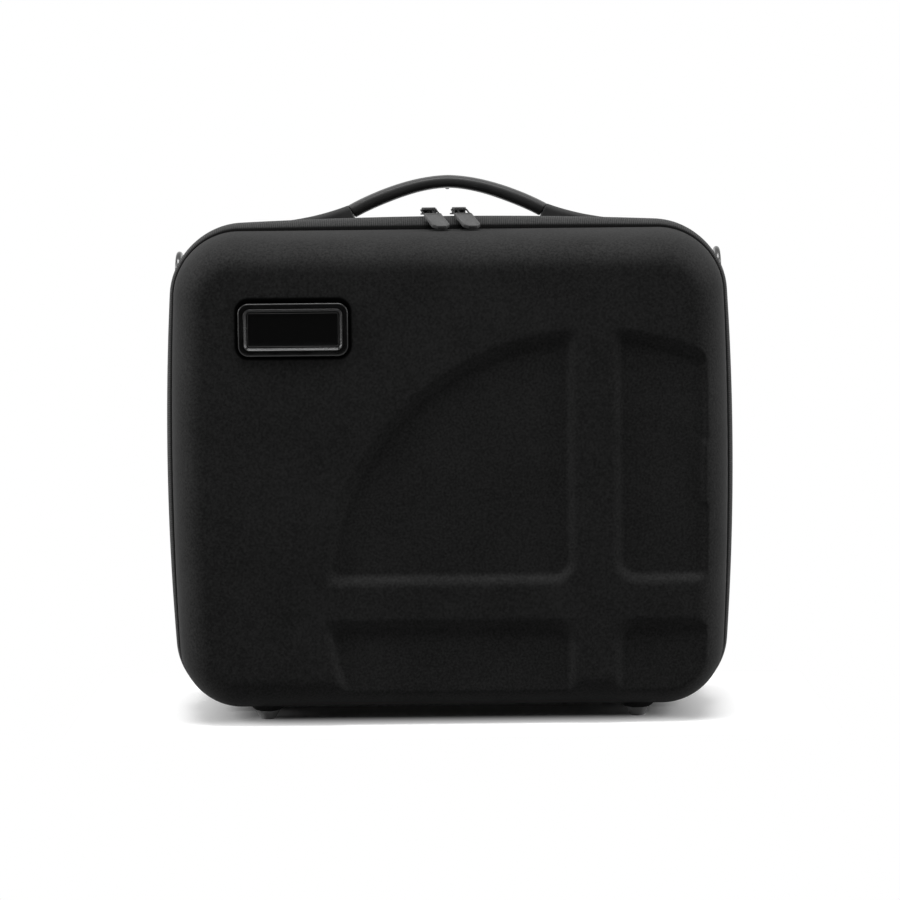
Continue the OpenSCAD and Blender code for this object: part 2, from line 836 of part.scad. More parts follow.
module handle_mount_left() { color([0.14, 0.14, 0.15]) mirror([1, 0, 0]) handle_mount(); }
module handle_mount_right() { color([0.14, 0.14, 0.15]) handle_mount(); }

plate_z = rim_top - seat_t - plate_t;
module handle_plate() {
    difference() {
        translate([mount_from + 2 * mount_rim, handle_mid_y - mount_w / 2 + mount_rim, plate_z])
            cube([mount_reach - mount_from - 4 * mount_rim, mount_w - 2 * mount_rim, plate_t]);
        for (x = mount_screw_x) translate([x, handle_mid_y, plate_z - cut])
            cylinder(d = screw_d + 2 * hole_gap, h = plate_t + 2 * cut);
    }
}

module handle_plate_left() { color([0.6, 0.6, 0.6]) mirror([1, 0, 0]) handle_plate(); }
module handle_plate_right() { color([0.6, 0.6, 0.6]) handle_plate(); }

module handle_screws() {
    color([0.5, 0.5, 0.5])
    left_and_right() for (x = mount_screw_x) translate([x, handle_mid_y, plate_z]) {
        translate([0, 0, -head_h]) cylinder(d = head_d, h = head_h);
        cylinder(d = screw_d, h = plate_t + seat_t + screw_depth(x) - joint_gap);
    }
}

// ---- Strap rings ------------------------------------------------------------------------

module d_ring() {
    translate([ring_x, ring_mid_y, tab_top]) {
        rotate([0, -90, 0]) rotate([0, 0, -90])
            rotate_extrude(angle = 180, $fn = 64) translate([ring_r, 0]) circle(d = ring_wire);
        rotate([90, 0, 0]) cylinder(d = ring_wire, h = 2 * ring_r, center = true);
        for (y = [-ring_r, ring_r]) translate([0, y, 0]) sphere(d = ring_wire);
    }
}

module d_ring_left() { color([0.25, 0.25, 0.26]) mirror([1, 0, 0]) d_ring(); }
module d_ring_right() { color([0.25, 0.25, 0.26]) d_ring(); }

module ring_tab() {
    difference() {
        union() {
            translate([seat_x, ring_mid_y - tab_w / 2, tab_top - tab_len])
                cube([2 * tab_t, tab_w, tab_len]);
            translate([ring_x, ring_mid_y, tab_top]) rotate([90, 0, 0])
                cylinder(r = loop_r + tab_t, h = tab_w, center = true);
        }
        translate([ring_x, ring_mid_y, tab_top]) rotate([90, 0, 0])
            cylinder(r = loop_r, h = tab_w + 2 * cut, center = true);
        rivet_holes(rivet_d / 2 + hole_gap);
    }
}

module ring_tab_left() { color([0.08, 0.08, 0.08]) mirror([1, 0, 0]) ring_tab(); }
module ring_tab_right() { color([0.08, 0.08, 0.08]) ring_tab(); }

rivet_z = [for (f = [0.42, 0.8]) tab_top - f * tab_len];
module rivet_holes(r) {
    for (z = rivet_z) translate([seat_x - seat_t - plate_t - cut, ring_mid_y, z]) rotate([0, 90, 0])
        cylinder(r = r, h = seat_t + plate_t + 2 * tab_t + 2 * cut);
}

module ring_plate() {
    difference() {
        translate([
            seat_x - seat_t - plate_t, ring_mid_y - tab_w / 2 + tab_rim, tab_top - tab_len + tab_rim
        ])
            cube([plate_t, tab_w - 2 * tab_rim, tab_len - 8 * tab_rim]);
        rivet_holes(rivet_d / 2 + hole_gap);
    }
}

module ring_plate_left() { color([0.6, 0.6, 0.6]) mirror([1, 0, 0]) ring_plate(); }
module ring_plate_right() { color([0.6, 0.6, 0.6]) ring_plate(); }

module ring_rivets() {
    from = seat_x - seat_t - plate_t;
    length = seat_t + plate_t + 2 * tab_t;
    color([0.3, 0.3, 0.3])
    left_and_right() for (z = rivet_z) translate([from, ring_mid_y, z]) rotate([0, 90, 0]) {
        cylinder(d = rivet_d, h = length);
        translate([0, 0, -rivet_head_h]) cylinder(d = rivet_head_d, h = rivet_head_h);
        translate([0, 0, length])
            cylinder(d1 = rivet_head_d, d2 = rivet_head_d * 0.7, h = rivet_head_h);
    }
}

// ---- Foam -------------------------------------------------------------------------------

insert_front = split + insert_back;
pad_front = -lid_front - skin - base_pad_t;

// The space inside the rear shell, from one depth to another
module rear_space(from, to) {
    intersection() {
        rear() bowl(body_depth - skin - foam_gap, foam_inset, cut + band_half);
        translate([-case_w / 2, from, 0]) cube([case_w, to - from, rim_top]);
    }
}

module foam_base_pad() {
    color([0.2, 0.2, 0.21])
    difference() {
        rear_space(pad_front + foam_gap, case_depth);
        rear_fitting_space(foam_gap);
    }
}

module cavity(x, z) {
    facing(x[0] + x[1] / 2, insert_front - cut, rim_bottom + z[0] + z[1] / 2, cavity_depth + cut)
        rounded(x[1], z[1], cavity_r);
}

module foam_insert() {
    color([0.17, 0.17, 0.18])
    difference() {
        rear_space(insert_front, pad_front);
        cavity(mic_x, mic_z);
        cavity(mid_x, cable_z);
        cavity(mid_x, mount_z);
        cavity(right_x, small_z);
        cavity(right_x, supply_z);
        rear_fitting_space(foam_gap);
    }
}

module lid_foam() {
    back = lid_front + face_t + lining_t;
    color([0.17, 0.17, 0.18])
    difference() {
        intersection() {
            bowl(lid_depth - face_t - lining_t, foam_inset, cut + band_half);
            translate([-case_w / 2, back, 0]) cube([case_w, lid_foam_t, rim_top]);
        }
        badge_pegs(push_nut_d + 2 * cut, back - cut, push_nut_t + peg_end + 2 * cut);
        foot_seats(-foot_y, foam_gap, inner_reach);
    }
}

// ---- Sliders and pulls ------------------------------------------------------------------

function crest_z(x) =
    rim_top + band_rise + band_arch * (1 - pow(x / (case_w / 2 - side_bow), 2));

// Where the middle of a loop's bar lies, from the crest under its slider. Each slider's turret
// sits towards the other slider
bar_forward = 2.6;
function bar_place(side) =
    [-side * turret_in, -bar_forward, slider_gap_top + slider_plate + bar_h];

// A slider at x; side is -1 for the left one and 1 for the right one
module slider(x, side) {
    under = tape_t + coil_t + slider_gap_bottom;
    post_w = zip_gap / 2;
    corner = 3.4;
    top = slider_plate / 2 + bar_h + loop_wire / 2 + 2 * joint_gap;
    bar = bar_place(side);
    color([0.13, 0.13, 0.13])
    translate([x, split, crest_z(x)]) {
        for (z = [slider_gap_top, -under - slider_plate]) translate([0, 0, z])
            linear_extrude(slider_plate) rounded(slider_len, slider_w, corner);
        translate([-slider_len / 4, -post_w / 2, -under - slider_plate / 2])
            cube([slider_len / 2, post_w, under + slider_gap_top + slider_plate]);
        difference() {
            translate([bar[0], bar[1], bar[2] - bar_h - slider_plate / 2]) rotate_extrude()
                polygon([
                    [0, 0], [turret_r, 0], [turret_r, top - joint_gap],
                    [turret_r - joint_gap, top], [0, top]
                ]);
            translate(bar) rotate([0, 0, pull_lean]) rotate([0, 90, 0])
                cylinder(r = loop_wire / 2 + joint_gap, h = 3 * turret_r, center = true);
        }
    }
}

// A pull with its bar along X and its tip towards -Y. Its wire loop is moulded into its grip
loop_half = (pull_w - loop_wire) / 2 - plaque_gap;
loop_grip = 3;
pull_chamfer = 3;
module pull_loop() {
    rotate([0, 90, 0]) cylinder(d = loop_wire, h = 2 * loop_half, center = true);
    for (x = [-loop_half, loop_half]) translate([x, 0, 0]) {
        sphere(d = loop_wire);
        rotate([90, 0, 0]) cylinder(d = loop_wire, h = pull_start + loop_grip);
    }
}

module pull() {
    w = pull_w / 2;
    low = pull_chamfer - pull_len;
    difference() {
        translate([0, 0, -pull_t / 2]) linear_extrude(pull_t) polygon([
            [-w, -pull_start], [-w, low], [pull_chamfer - w, -pull_len],
            [w - pull_chamfer, -pull_len], [w, low], [w, -pull_start]
        ]);
        pull_loop();
    }
}

// Puts a pull or its loop in place on the slider at x
module hung(x, side) {
    translate([x, split, crest_z(x)] + bar_place(side)) rotate([0, 0, pull_lean])
        rotate([pull_drop, 0, 0]) translate([side * pull_shift, 0, 0]) children();
}

module slider_left() { slider(slider_left_x, -1); }
module slider_right() { slider(slider_right_x, 1); }
module pull_left() { color([0.22, 0.22, 0.22]) hung(slider_left_x, -1) pull(); }
module pull_right() { color([0.22, 0.22, 0.22]) hung(slider_right_x, 1) pull(); }
module pull_loop_left() { color([0.3, 0.3, 0.3]) hung(slider_left_x, -1) pull_loop(); }
module pull_loop_right() { color([0.3, 0.3, 0.3]) hung(slider_right_x, 1) pull_loop(); }

body_shell();
body_lining();
body_seam_binding();
zip_tape_body();
zip_coil_body();
hinge_strip();
foam_base_pad();
foam_insert();
handle_grip();
handle_core();
handle_mount_left();
handle_mount_right();
handle_plate_left();
handle_plate_right();
handle_screws();
ring_tab_left();
ring_tab_right();
ring_plate_left();
ring_plate_right();
ring_rivets();
body_feet();
body_foot_screws();
body_foot_nuts();
lid_shell();
lid_lining();
lid_seam_binding();
zip_tape_lid();
zip_coil_lid();
lid_foam();
badge_frame();
badge_plaque();
badge_push_nuts();
lid_feet();
lid_foot_screws();
lid_foot_nuts();
slider_left();
slider_right();
pull_left();
pull_right();
pull_loop_left();
pull_loop_right();
d_ring_left();
d_ring_right();
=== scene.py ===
"""Looks of a moulded zip case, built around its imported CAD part.

The part's frame: X runs across the front, Y from front to back, Z up from the floor. Sizes are in
millimetres and repeat those of the part's source. The meshes are scaled to metres at the end.
"""

import math

import bmesh
import bpy
from mathutils import Matrix, Quaternion, Vector


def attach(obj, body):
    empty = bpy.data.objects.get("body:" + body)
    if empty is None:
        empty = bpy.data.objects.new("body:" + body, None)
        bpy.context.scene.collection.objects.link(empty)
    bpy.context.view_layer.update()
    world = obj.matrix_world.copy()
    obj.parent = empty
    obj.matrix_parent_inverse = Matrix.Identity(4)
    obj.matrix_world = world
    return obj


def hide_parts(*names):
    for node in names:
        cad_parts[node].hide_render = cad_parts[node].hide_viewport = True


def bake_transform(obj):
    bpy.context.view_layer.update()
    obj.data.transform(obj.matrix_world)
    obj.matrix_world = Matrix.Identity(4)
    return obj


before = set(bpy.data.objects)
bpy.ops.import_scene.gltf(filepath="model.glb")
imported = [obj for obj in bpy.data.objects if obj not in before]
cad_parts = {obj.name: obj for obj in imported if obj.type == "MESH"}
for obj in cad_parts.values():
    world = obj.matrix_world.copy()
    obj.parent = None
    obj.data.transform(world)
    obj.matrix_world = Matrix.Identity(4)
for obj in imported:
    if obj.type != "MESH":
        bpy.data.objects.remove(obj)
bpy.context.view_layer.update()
MM = 0.001

# ---- Sizes of the part ----------------------------------------------------------------------
CASE_W, CASE_H = 340.0, 291.5
LID_D, BODY_D = 50.0, 60.0
TOP_R, LOW_R = 38.0, 37.0
BOW = 4.7
EDGE_RUN, EDGE_POWER, DRAFT = 22.0, 2.5, math.radians(3)
SHELL_T, LINING_T, BINDING_T, BINDING_W = 4.5, 1.2, 0.8, 9.0
RELIEF_R, RELIEF_BAR, RELIEF_DEPTH, RELIEF_SLOPE, RELIEF_FILLET = 161.0, 26.4, 3.0, 5.6, 12.0
BAND_HALF, BAND_RISE, BAND_BOW, BAND_ARCH = 16.0, 3.2, 1.8, 4.8
GROOVE, TAPE_T, ZIP_GAP = 2.6, 1.5, 1.8
BADGE_W, BADGE_H, BADGE_R = 65.6, 32.7, 6.3
BADGE_POCKET, BADGE_PROUD, BADGE_BORDER, BADGE_LIP, BADGE_LIP_H = 1.5, 2.0, 5.6, 2.2, 0.8
HALF_W, HALF_H = CASE_W / 2 - BOW, CASE_H / 2
RIM_BOTTOM = 5.5
RIM_TOP, RIM_MID = RIM_BOTTOM + CASE_H, RIM_BOTTOM + HALF_H
LID_FRONT = -69.6
LID_RIM = LID_FRONT + LID_D
SPLIT = LID_RIM + BAND_HALF
BODY_RIM = SPLIT + BAND_HALF
FACE_T = SHELL_T + RELIEF_DEPTH
SKIN = SHELL_T + LINING_T
RELIEF_X, RELIEF_Z = CASE_W / 2 - 83.7, RIM_BOTTOM + 69.3
BADGE_X, BADGE_Z = 77.7 - CASE_W / 2, RIM_TOP - 57.3
FOOT_X, FOOT_Y, FOOT_D = 113.0, 38.0, 14.8
HANDLE_Y = BODY_RIM + 15
GRIP_HALF, GRIP_FALL, GRIP_T, GRIP_W, HANDLE_H = 62.0, 18.0, 8.0, 20.0, 32.7
MOUNT_FROM, MOUNT_REACH, MOUNT_W, MOUNT_TIP = 57.72, 118.0, 24.0, 4.0
SEAT_X = CASE_W / 2 - 3
RING_Y = BODY_RIM + 17
TAB_TOP, TAB_W, TAB_T, TAB_LEN = RIM_TOP - 29, 22.0, 1.3, 42.0
RING_GROOVE, TAB_BEND = 3.9, 2.05
# The flat seats reach this far past their fittings, and fade out over this length
FOOT_SEAT, MOUNT_SEAT, TAB_SEAT, SEAT_FADE, MOUNT_FADE = 2.6, 2.0, 0.6, 2.4, 4.0
# How far the linings stay from the middle of a foot, and from the plates
NEAR_FOOT, NEAR_PLATE = 9.6, 4.0
SHELLS = ("lid_shell_cloth", "body_shell_cloth")


# ---- Small helpers --------------------------------------------------------------------------
def smooth(t):
    t = min(1.0, max(0.0, t))
    return t * t * (3 - 2 * t)


def lerp(a, b, t):
    return a + (b - a) * t


def circle(radius, sides):
    turns = [2 * math.pi * i / sides for i in range(sides)]
    return [(radius * math.cos(a), radius * math.sin(a)) for a in turns]


def linked(name, data):
    ob = bpy.data.objects.new(name, data)
    bpy.context.scene.collection.objects.link(ob)
    return ob


def dressed(name, me, material, body, node):
    """Makes a mesh a piece on a body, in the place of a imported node."""
    me.materials.append(material)
    ob = linked(name, me)
    if body:
        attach(ob, body)
    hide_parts(node)
    return ob


def finish_mesh(name, bm, material, body, node, sharp=None, outward=True):
    """A piece from a bmesh whose points are in millimetres; outward turns its faces outward."""
    if outward:
        bmesh.ops.recalc_face_normals(bm, faces=bm.faces)
    bmesh.ops.scale(bm, vec=(MM, MM, MM), verts=bm.verts)
    me = bpy.data.meshes.new(name)
    for f in bm.faces:
        f.smooth = True
    bm.to_mesh(me)
    bm.free()
    if sharp is not None:
        me.set_sharp_from_angle(angle=math.radians(sharp))
    return dressed(name, me, material, body, node)


def along(points, closed=True):
    """Distance along a ring up to each point, and once round at the end."""
    out = [0.0]
    n = len(points)
    for i in range(n if closed else n - 1):
        out.append(out[-1] + (Vector(points[(i + 1) % n]) - Vector(points[i])).length)
    return out


class Rings:
    """Quads between rings of points, with UVs in metres."""

    def __init__(self):
        self.bm = bmesh.new()
        self.uv = self.bm.loops.layers.uv.new("UVMap")

    def verts(self, points):
        return [self.bm.verts.new(p) for p in points]

    def face(self, verts, uvs, flip=False):
        if flip:
            verts, uvs = verts[::-1], uvs[::-1]
        for loop, uv in zip(self.bm.faces.new(verts).loops, uvs):
            loop[self.uv].uv = (uv[0] * MM, uv[1] * MM)

    def cap(self, ring, flip=False):
        self.bm.faces.new(ring[::-1] if flip else ring)

    def bridge(self, a, b, ua, va, vb, flip=False, turned=False):
        """Quads from ring a to ring b; ua has one more value than a ring. turned swaps U and V."""
        for i in range(len(a)):
            j = (i + 1) % len(a)
            uvs = [(ua[i], va), (ua[i + 1], va), (ua[i + 1], vb), (ua[i], vb)]
            if turned:
                uvs = [(v, u) for u, v in uvs]
            self.face([a[i], a[j], b[j], b[i]], uvs, flip)

    def sweep(self, stations, across=None, flip=False, caps=None):
        """A tube with closed ends through stations, each of points and a distance along. across
        is V round it. Without across, U goes round it and V along it. caps: whether each end's
        cap is reversed, which settles how it is cut into triangles."""
        first, last = caps or (not flip, flip)
        prev = None
        for points, at in stations:
            ring = self.verts(points)
            if prev:
                ua = across or along(points)
                self.bridge(prev[0], ring, ua, prev[1], at, flip, turned=bool(across))
            else:
                self.cap(ring, first)
            prev = (ring, at)
        self.cap(prev[0], last)

    def stack(self, outlines, place):
        """A closed tube through outlines, each a list of points and a height, put in place."""
        rings = [self.verts([place(x, y, h) for x, y in points]) for points, h in outlines]
        ua = along([(x, y, 0) for x, y in outlines[0][0]])
        v = 0.0
        for k in range(len(rings) - 1):
            (a, low), (b, high) = outlines[k], outlines[k + 1]
            step = math.dist(a[0], b[0]) + abs(high - low)
            self.bridge(rings[k], rings[k + 1], ua, v, v + step)
            v += step
        self.cap(rings[0], True)
        self.cap(rings[-1])

    def hoop(self, rings, ua, line, flip=False):
        """Bridges rings in a closed loop, whose section is a line of points."""
        v = along(line)
        for k in range(len(rings)):
            self.bridge(rings[k], rings[(k + 1) % len(rings)], ua, v[k], v[k + 1], flip)

    def fill(self, outline, last, inset, place, flip=False):
        """A grid of faces inside the ring last of an outline; place gives each point."""
        mh, mv, n = outline.mh, outline.mv, outline.n
        border = {}
        for i in range(mv + 1):
            border[(i, mh)] = last[i]
            border[(i, 0)] = last[(2 * mv + mh - i) % n]
        for i in range(mh + 1):
            border[(mv, i)] = last[(mv + mh - i) % n]
            border[(0, i)] = last[(2 * mv + mh + i) % n]
        rows = [
            [border.get((j, i)) or self.bm.verts.new(place(x, z)) for i, (x, z) in enumerate(row)]
            for j, row in enumerate(outline.grid(outline.ring(inset)))
        ]
        for low, high in zip(rows, rows[1:]):
            for i in range(mh):
                vs = [low[i], low[i + 1], high[i + 1], high[i]]
                self.face(vs, [(v.co.x, v.co.z) for v in vs], flip)


# ---- Outlines of the case -------------------------------------------------------------------
class Outline:
    """The rim's outline, from the middle of the bottom right corner round, so that four sides
    of a grid can meet it. c: steps of half a corner, sh and sv: steps of the straight parts."""

    def __init__(self, c, sh, sv):
        self.c, self.sh, self.sv = c, sh, sv
        self.mh, self.mv = 2 * c + sh, 2 * c + sv
        self.n = 2 * (self.mh + self.mv)

    def straight(self, inset):
        a, b = HALF_W - inset, HALF_H - inset
        top, low = max(1, TOP_R - inset), max(1, LOW_R - inset)
        corners = [
            (a - low, low - b, low, -90),
            (a - top, b - top, top, 0),
            (top - a, b - top, top, 90),
            (low - a, low - b, low, 180),
        ]
        pts = []
        for k, (x, z, r, start) in enumerate(corners):
            turns = [math.radians(start + 90 * i / (2 * self.c)) for i in range(2 * self.c + 1)]
            pts += [(x + r * math.cos(t), z + r * math.sin(t)) for t in turns]
            nx, nz, nr, ns = corners[(k + 1) % 4]
            p = pts[-1]
            q = (nx + nr * math.cos(math.radians(ns)), nz + nr * math.sin(math.radians(ns)))
            steps = self.sv if k in (0, 2) else self.sh
            for i in range(1, steps):
                pts.append((lerp(p[0], q[0], i / steps), lerp(p[1], q[1], i / steps)))
        return pts[self.c :] + pts[: self.c]

    def ring(self, inset):
        """The outline moved in, with its bowed sides."""
        out = []
        for (x, z), (qx, qz) in zip(self.straight(inset), self.straight(0)):
            out.append((x + BOW * qx / HALF_W * (1 - (qz / HALF_H) ** 2), RIM_MID + z))
        return out

    def points(self, inset, y):
        return [(x, y, z) for x, z in self.ring(inset)]

    def grid(self, ring):
        """Points of a grid inside a ring, rows from the bottom up; the ring is its border."""
        mh, mv = self.mh, self.mv
        right = [ring[i] for i in range(mv + 1)]
        top = [ring[(mv + i) % self.n] for i in range(mh + 1)][::-1]
        left = [ring[(mv + mh + i) % self.n] for i in range(mv + 1)][::-1]
        bottom = [ring[(2 * mv + mh + i) % self.n] for i in range(mh + 1)]

        def at(u, v, i, j, k):
            edges = (1 - v) * bottom[i][k] + v * top[i][k] + (1 - u) * left[j][k] + u * right[j][k]
            low = (1 - u) * bottom[0][k] + u * bottom[mh][k]
            return edges - (1 - v) * low - v * ((1 - u) * top[0][k] + u * top[mh][k])

        return [
            [tuple(at(i / mh, j / mv, i, j, k) for k in (0, 1)) for i in range(mh + 1)]
            for j in range(mv + 1)
        ]


def profile(depth, inset, steps):
    """[inset, distance forward from the rim, distance along] of a shell's wall and edge."""
    count = 2000
    fine = []
    for i in range(count + 1):
        t = math.pi / 2 * i / count
        deep, wide = (max(0.0, f(t)) ** (2 / EDGE_POWER) for f in (math.sin, math.cos))
        lean = depth * math.tan(DRAFT) * deep
        fine.append((inset + EDGE_RUN * (1 - wide) + lean, depth * deep))
    run = [0.0]
    for a, b in zip(fine, fine[1:]):
        run.append(run[-1] + math.dist(a, b))
    out, k = [], 0
    for i in range(steps + 1):
        want = run[-1] * i / steps
        while k < count - 1 and run[k + 1] < want:
            k += 1
        f = 0 if run[k + 1] == run[k] else (want - run[k]) / (run[k + 1] - run[k])
        a, b = fine[k], fine[k + 1]
        out.append((lerp(a[0], b[0], f), lerp(a[1], b[1], f), want))
    return out


def rect_distance(x, y, w, h, r):
    dx, dy = abs(x) - (w / 2 - r), abs(y) - (h / 2 - r)
    return math.hypot(max(dx, 0), max(dy, 0)) + min(max(dx, dy), 0) - r


RELIEF_ROLL, RELIEF_BLEND = 3.7, 1.6


def relief(x, z):
    """How deep the front face is pressed in at a place: a crease at the foot of each slope,
    which rolls over softly into the raised bars and the face round them."""
    X, Z = abs(x - RELIEF_X), abs(z - RELIEF_Z)
    g, f = RELIEF_BAR / 2, RELIEF_FILLET
    if X < g + f and Z < g + f:
        d = math.hypot(g + f - X, g + f - Z) - f
    else:
        d = max(g - X, g - Z)
    e = math.hypot(X, Z) - RELIEF_R
    h = max(0.0, 1 - abs(d - e) / (4 * RELIEF_BLEND))
    d = max(d, e) + h * h * RELIEF_BLEND
    t = min(1.0, max(0.0, (RELIEF_ROLL - d) / (RELIEF_ROLL + RELIEF_SLOPE / 2)))
    return RELIEF_DEPTH * t * t


def front_y(x, y, z):
    """A point of the lid's outside, with the relief and the badge's pocket pressed in."""
    pressed = relief(x, z)
    want, k = LID_FRONT + pressed, min(0.8, pressed) + 0.001
    out = max(y, want) + max(0.0, 1 - abs(want - y) / k) ** 2 * k / 4
    d = rect_distance(x - BADGE_X, z - BADGE_Z, BADGE_W, BADGE_H, BADGE_R)
    return out + BADGE_POCKET * smooth((1.4 - d) / 1.8)


def seat_bottom(x, y, z, fy):
    """The wall flattened round a foot."""
    d = math.hypot(abs(x) - FOOT_X, y - fy) - FOOT_D / 2
    return lerp(z, RIM_BOTTOM, smooth((FOOT_SEAT - d) / SEAT_FADE)) if z < RIM_BOTTOM + 12 else z


# ---- Materials ------------------------------------------------------------------------------
class Nodes:
    """Helpers for a node tree."""

    def __init__(self, tree):
        self.t = tree

    def node(self, kind, **values):
        n = self.t.nodes.new("ShaderNode" + kind)
        for k, v in values.items():
            setattr(n, k, v)
        return n

    def link(self, a, b):
        self.t.links.new(a, b)

    def math(self, op, *values):
        n = self.node("Math", operation=op)
        for socket, v in zip(n.inputs, values):
            if isinstance(v, (int, float)):
                socket.default_value = v
            else:
                self.link(v, socket)
        return n.outputs[0]

    def times(self, a, b):
        return self.math("MULTIPLY", a, b)

    def times_add(self, a, b, c):
        return self.math("MULTIPLY_ADD", a, b, c)

    def split(self, vector):
        n = self.node("SeparateXYZ")
        self.link(vector, n.inputs[0])
        return n.outputs

    def remap(self, fac, lo, hi, a=0.0, b=1.0, kind="LINEAR"):
        n = self.node("MapRange", interpolation_type=kind)
        for i, v in enumerate((lo, hi, a, b)):
            n.inputs[i + 1].default_value = v
        self.link(fac, n.inputs[0])
        return n.outputs[0]

    def shown_rays(self):
        """1 where a ray comes from the camera, a glossy surface or through glass, 0 elsewhere."""
        rays = self.node("LightPath").outputs
        seen = self.math("MAXIMUM", rays["Is Camera Ray"], rays["Is Glossy Ray"])
        return self.math("MAXIMUM", seen, rays["Is Transmission Ray"])


class Mat(Nodes):
    """A node material. Textures take coordinates from the mesh's UVs or its own space."""

    def __init__(self, name, rough, base=(0.02, 0.02, 0.02), metallic=0.0, sheen=0.0,
                 sheen_rough=0.5, coat=0.0, coat_rough=0.1, ior=1.45, specular=0.5):
        self.m = bpy.data.materials.new(name)
        self.m.use_nodes = True
        super().__init__(self.m.node_tree)
        self.p = self.t.nodes["Principled BSDF"].inputs
        for socket, value in (
            ("Base Color", (*base, 1)),
            ("Roughness", rough),
            ("Metallic", metallic),
            ("IOR", ior),
            ("Specular IOR Level", specular),
            ("Sheen Weight", sheen),
            ("Sheen Roughness", sheen_rough),
            ("Sheen Tint", (1, 1, 1, 1)),
            ("Coat Weight", coat),
            ("Coat Roughness", coat_rough),
        ):
            self.p[socket].default_value = value
        coords = self.node("TexCoord").outputs
        self.uv, self.object = coords["UV"], coords["Object"]

    def noise(self, size, detail=3.0, rough=0.55, stretch=None):
        """Noise with features about size millimetres across."""
        n = self.node("TexNoise")
        n.inputs["Scale"].default_value = 1 / (size * MM)
        n.inputs["Detail"].default_value = detail
        n.inputs["Roughness"].default_value = rough
        vector = self.object
        if stretch:
            mapping = self.node("Mapping")
            mapping.inputs["Scale"].default_value = stretch
            self.link(vector, mapping.inputs["Vector"])
            vector = mapping.outputs[0]
        self.link(vector, n.inputs["Vector"])
        return n.outputs["Fac"]

    def ramp(self, fac, *stops):
        """Greys between stops of position and value."""
        n = self.node("ValToRGB")
        points = n.color_ramp.elements
        while len(points) < len(stops):
            points.new(0.5)
        for point, (position, value) in zip(points, stops):
            point.position, point.color = position, (*grey(value), 1)
        self.link(fac, n.inputs[0])
        return n.outputs[0]

    def weave(self, pitch):
        """A plain weave's height from 0 to 1, with threads pitch millimetres apart."""
        s, k = self.split(self.uv), math.pi / (pitch * MM)
        a, b = (self.math("SINE", self.times(s[i], k)) for i in (0, 1))
        over = self.times_add(self.times(a, b), 0.5, 0.5)
        dips = self.times(self.math("ABSOLUTE", a), self.math("ABSOLUTE", b))
        return self.times_add(over, 0.45, self.times(dips, 0.55))

    def colour(self, socket):
        self.link(socket, self.p["Base Color"])

    def roughness(self, socket):
        self.link(socket, self.p["Roughness"])

    def multiply(self, colour, factor):
        """A colour times a number."""
        n = self.node("VectorMath", operation="MULTIPLY")
        joined = self.node("CombineXYZ")
        for socket in joined.inputs:
            self.link(factor, socket)
        self.link(colour, n.inputs[0])
        self.link(joined.outputs[0], n.inputs[1])
        return n.outputs[0]

    def painted_pocket_shadow(self):
        """Painted shadow: near 0 in the narrow gap round the badge, where the shells' colour is
        darkened to stand in for the gap's shade, and 1 elsewhere on the shells.
        """
        s = self.split(self.object)
        past = []
        for axis, middle, size in ((0, BADGE_X, BADGE_W), (2, BADGE_Z, BADGE_H)):
            away = self.math("ABSOLUTE", self.math("SUBTRACT", s[axis], middle * MM))
            past.append(self.math("SUBTRACT", away, (size / 2 - BADGE_R) * MM))
        dx, dz = (self.math("MAXIMUM", side, 0.0) for side in past)
        square = self.times_add(dx, dx, self.times(dz, dz))
        gap = self.math("SUBTRACT", self.math("SQRT", square), BADGE_R * MM)
        behind = self.math("ADD", s[1], 0.06)
        return self.remap(self.math("MAXIMUM", gap, behind), 1.4 * MM, 2.6 * MM, 0.04, 1.0)

    def bump(self, height, distance, strength, then=None):
        n = self.node("Bump")
        n.inputs["Distance"].default_value = distance * MM
        n.inputs["Strength"].default_value = strength
        self.link(height, n.inputs["Height"])
        if then is not None:
            self.link(then, n.inputs["Normal"])
        self.link(n.outputs[0], self.p["Normal"])
        return n.outputs[0]


def grey(v):
    return (v, v, v)


def make_laminate():
    m = Mat("laminate", 0.7, sheen=0.02, sheen_rough=0.4, specular=0.03)
    weave = m.weave(0.55)
    fleck, cloud = m.noise(1.3, 4, 0.65), m.noise(38, 3, 0.5)
    mix = m.times_add(fleck, 0.82, m.times(cloud, 0.18))
    mix = m.times_add(weave, 0.18, m.times(mix, 0.9))
    shade = m.ramp(mix, (0.34, 0.014), (0.5, 0.029), (0.66, 0.046))
    # Painted shadow: the colour turns nearly black in the gap round the badge
    m.colour(m.multiply(shade, m.painted_pocket_shadow()))
    m.roughness(m.remap(fleck, 0.2, 0.8, 0.62, 0.8))
    m.bump(weave, 0.03, 0.7, m.bump(fleck, 0.05, 0.7))
    return m.m


def make_brushed():
    m = Mat("brushed_lining", 0.9, sheen=0.5, sheen_rough=0.4)
    pile, cloud = m.noise(0.9, 4, 0.7, stretch=(1, 1, 3.5)), m.noise(45)
    mix = m.times_add(pile, 0.6, m.times(cloud, 0.4))
    m.colour(m.ramp(mix, (0.3, 0.012), (0.7, 0.03)))
    m.bump(pile, 0.3, 0.8)
    return m.m


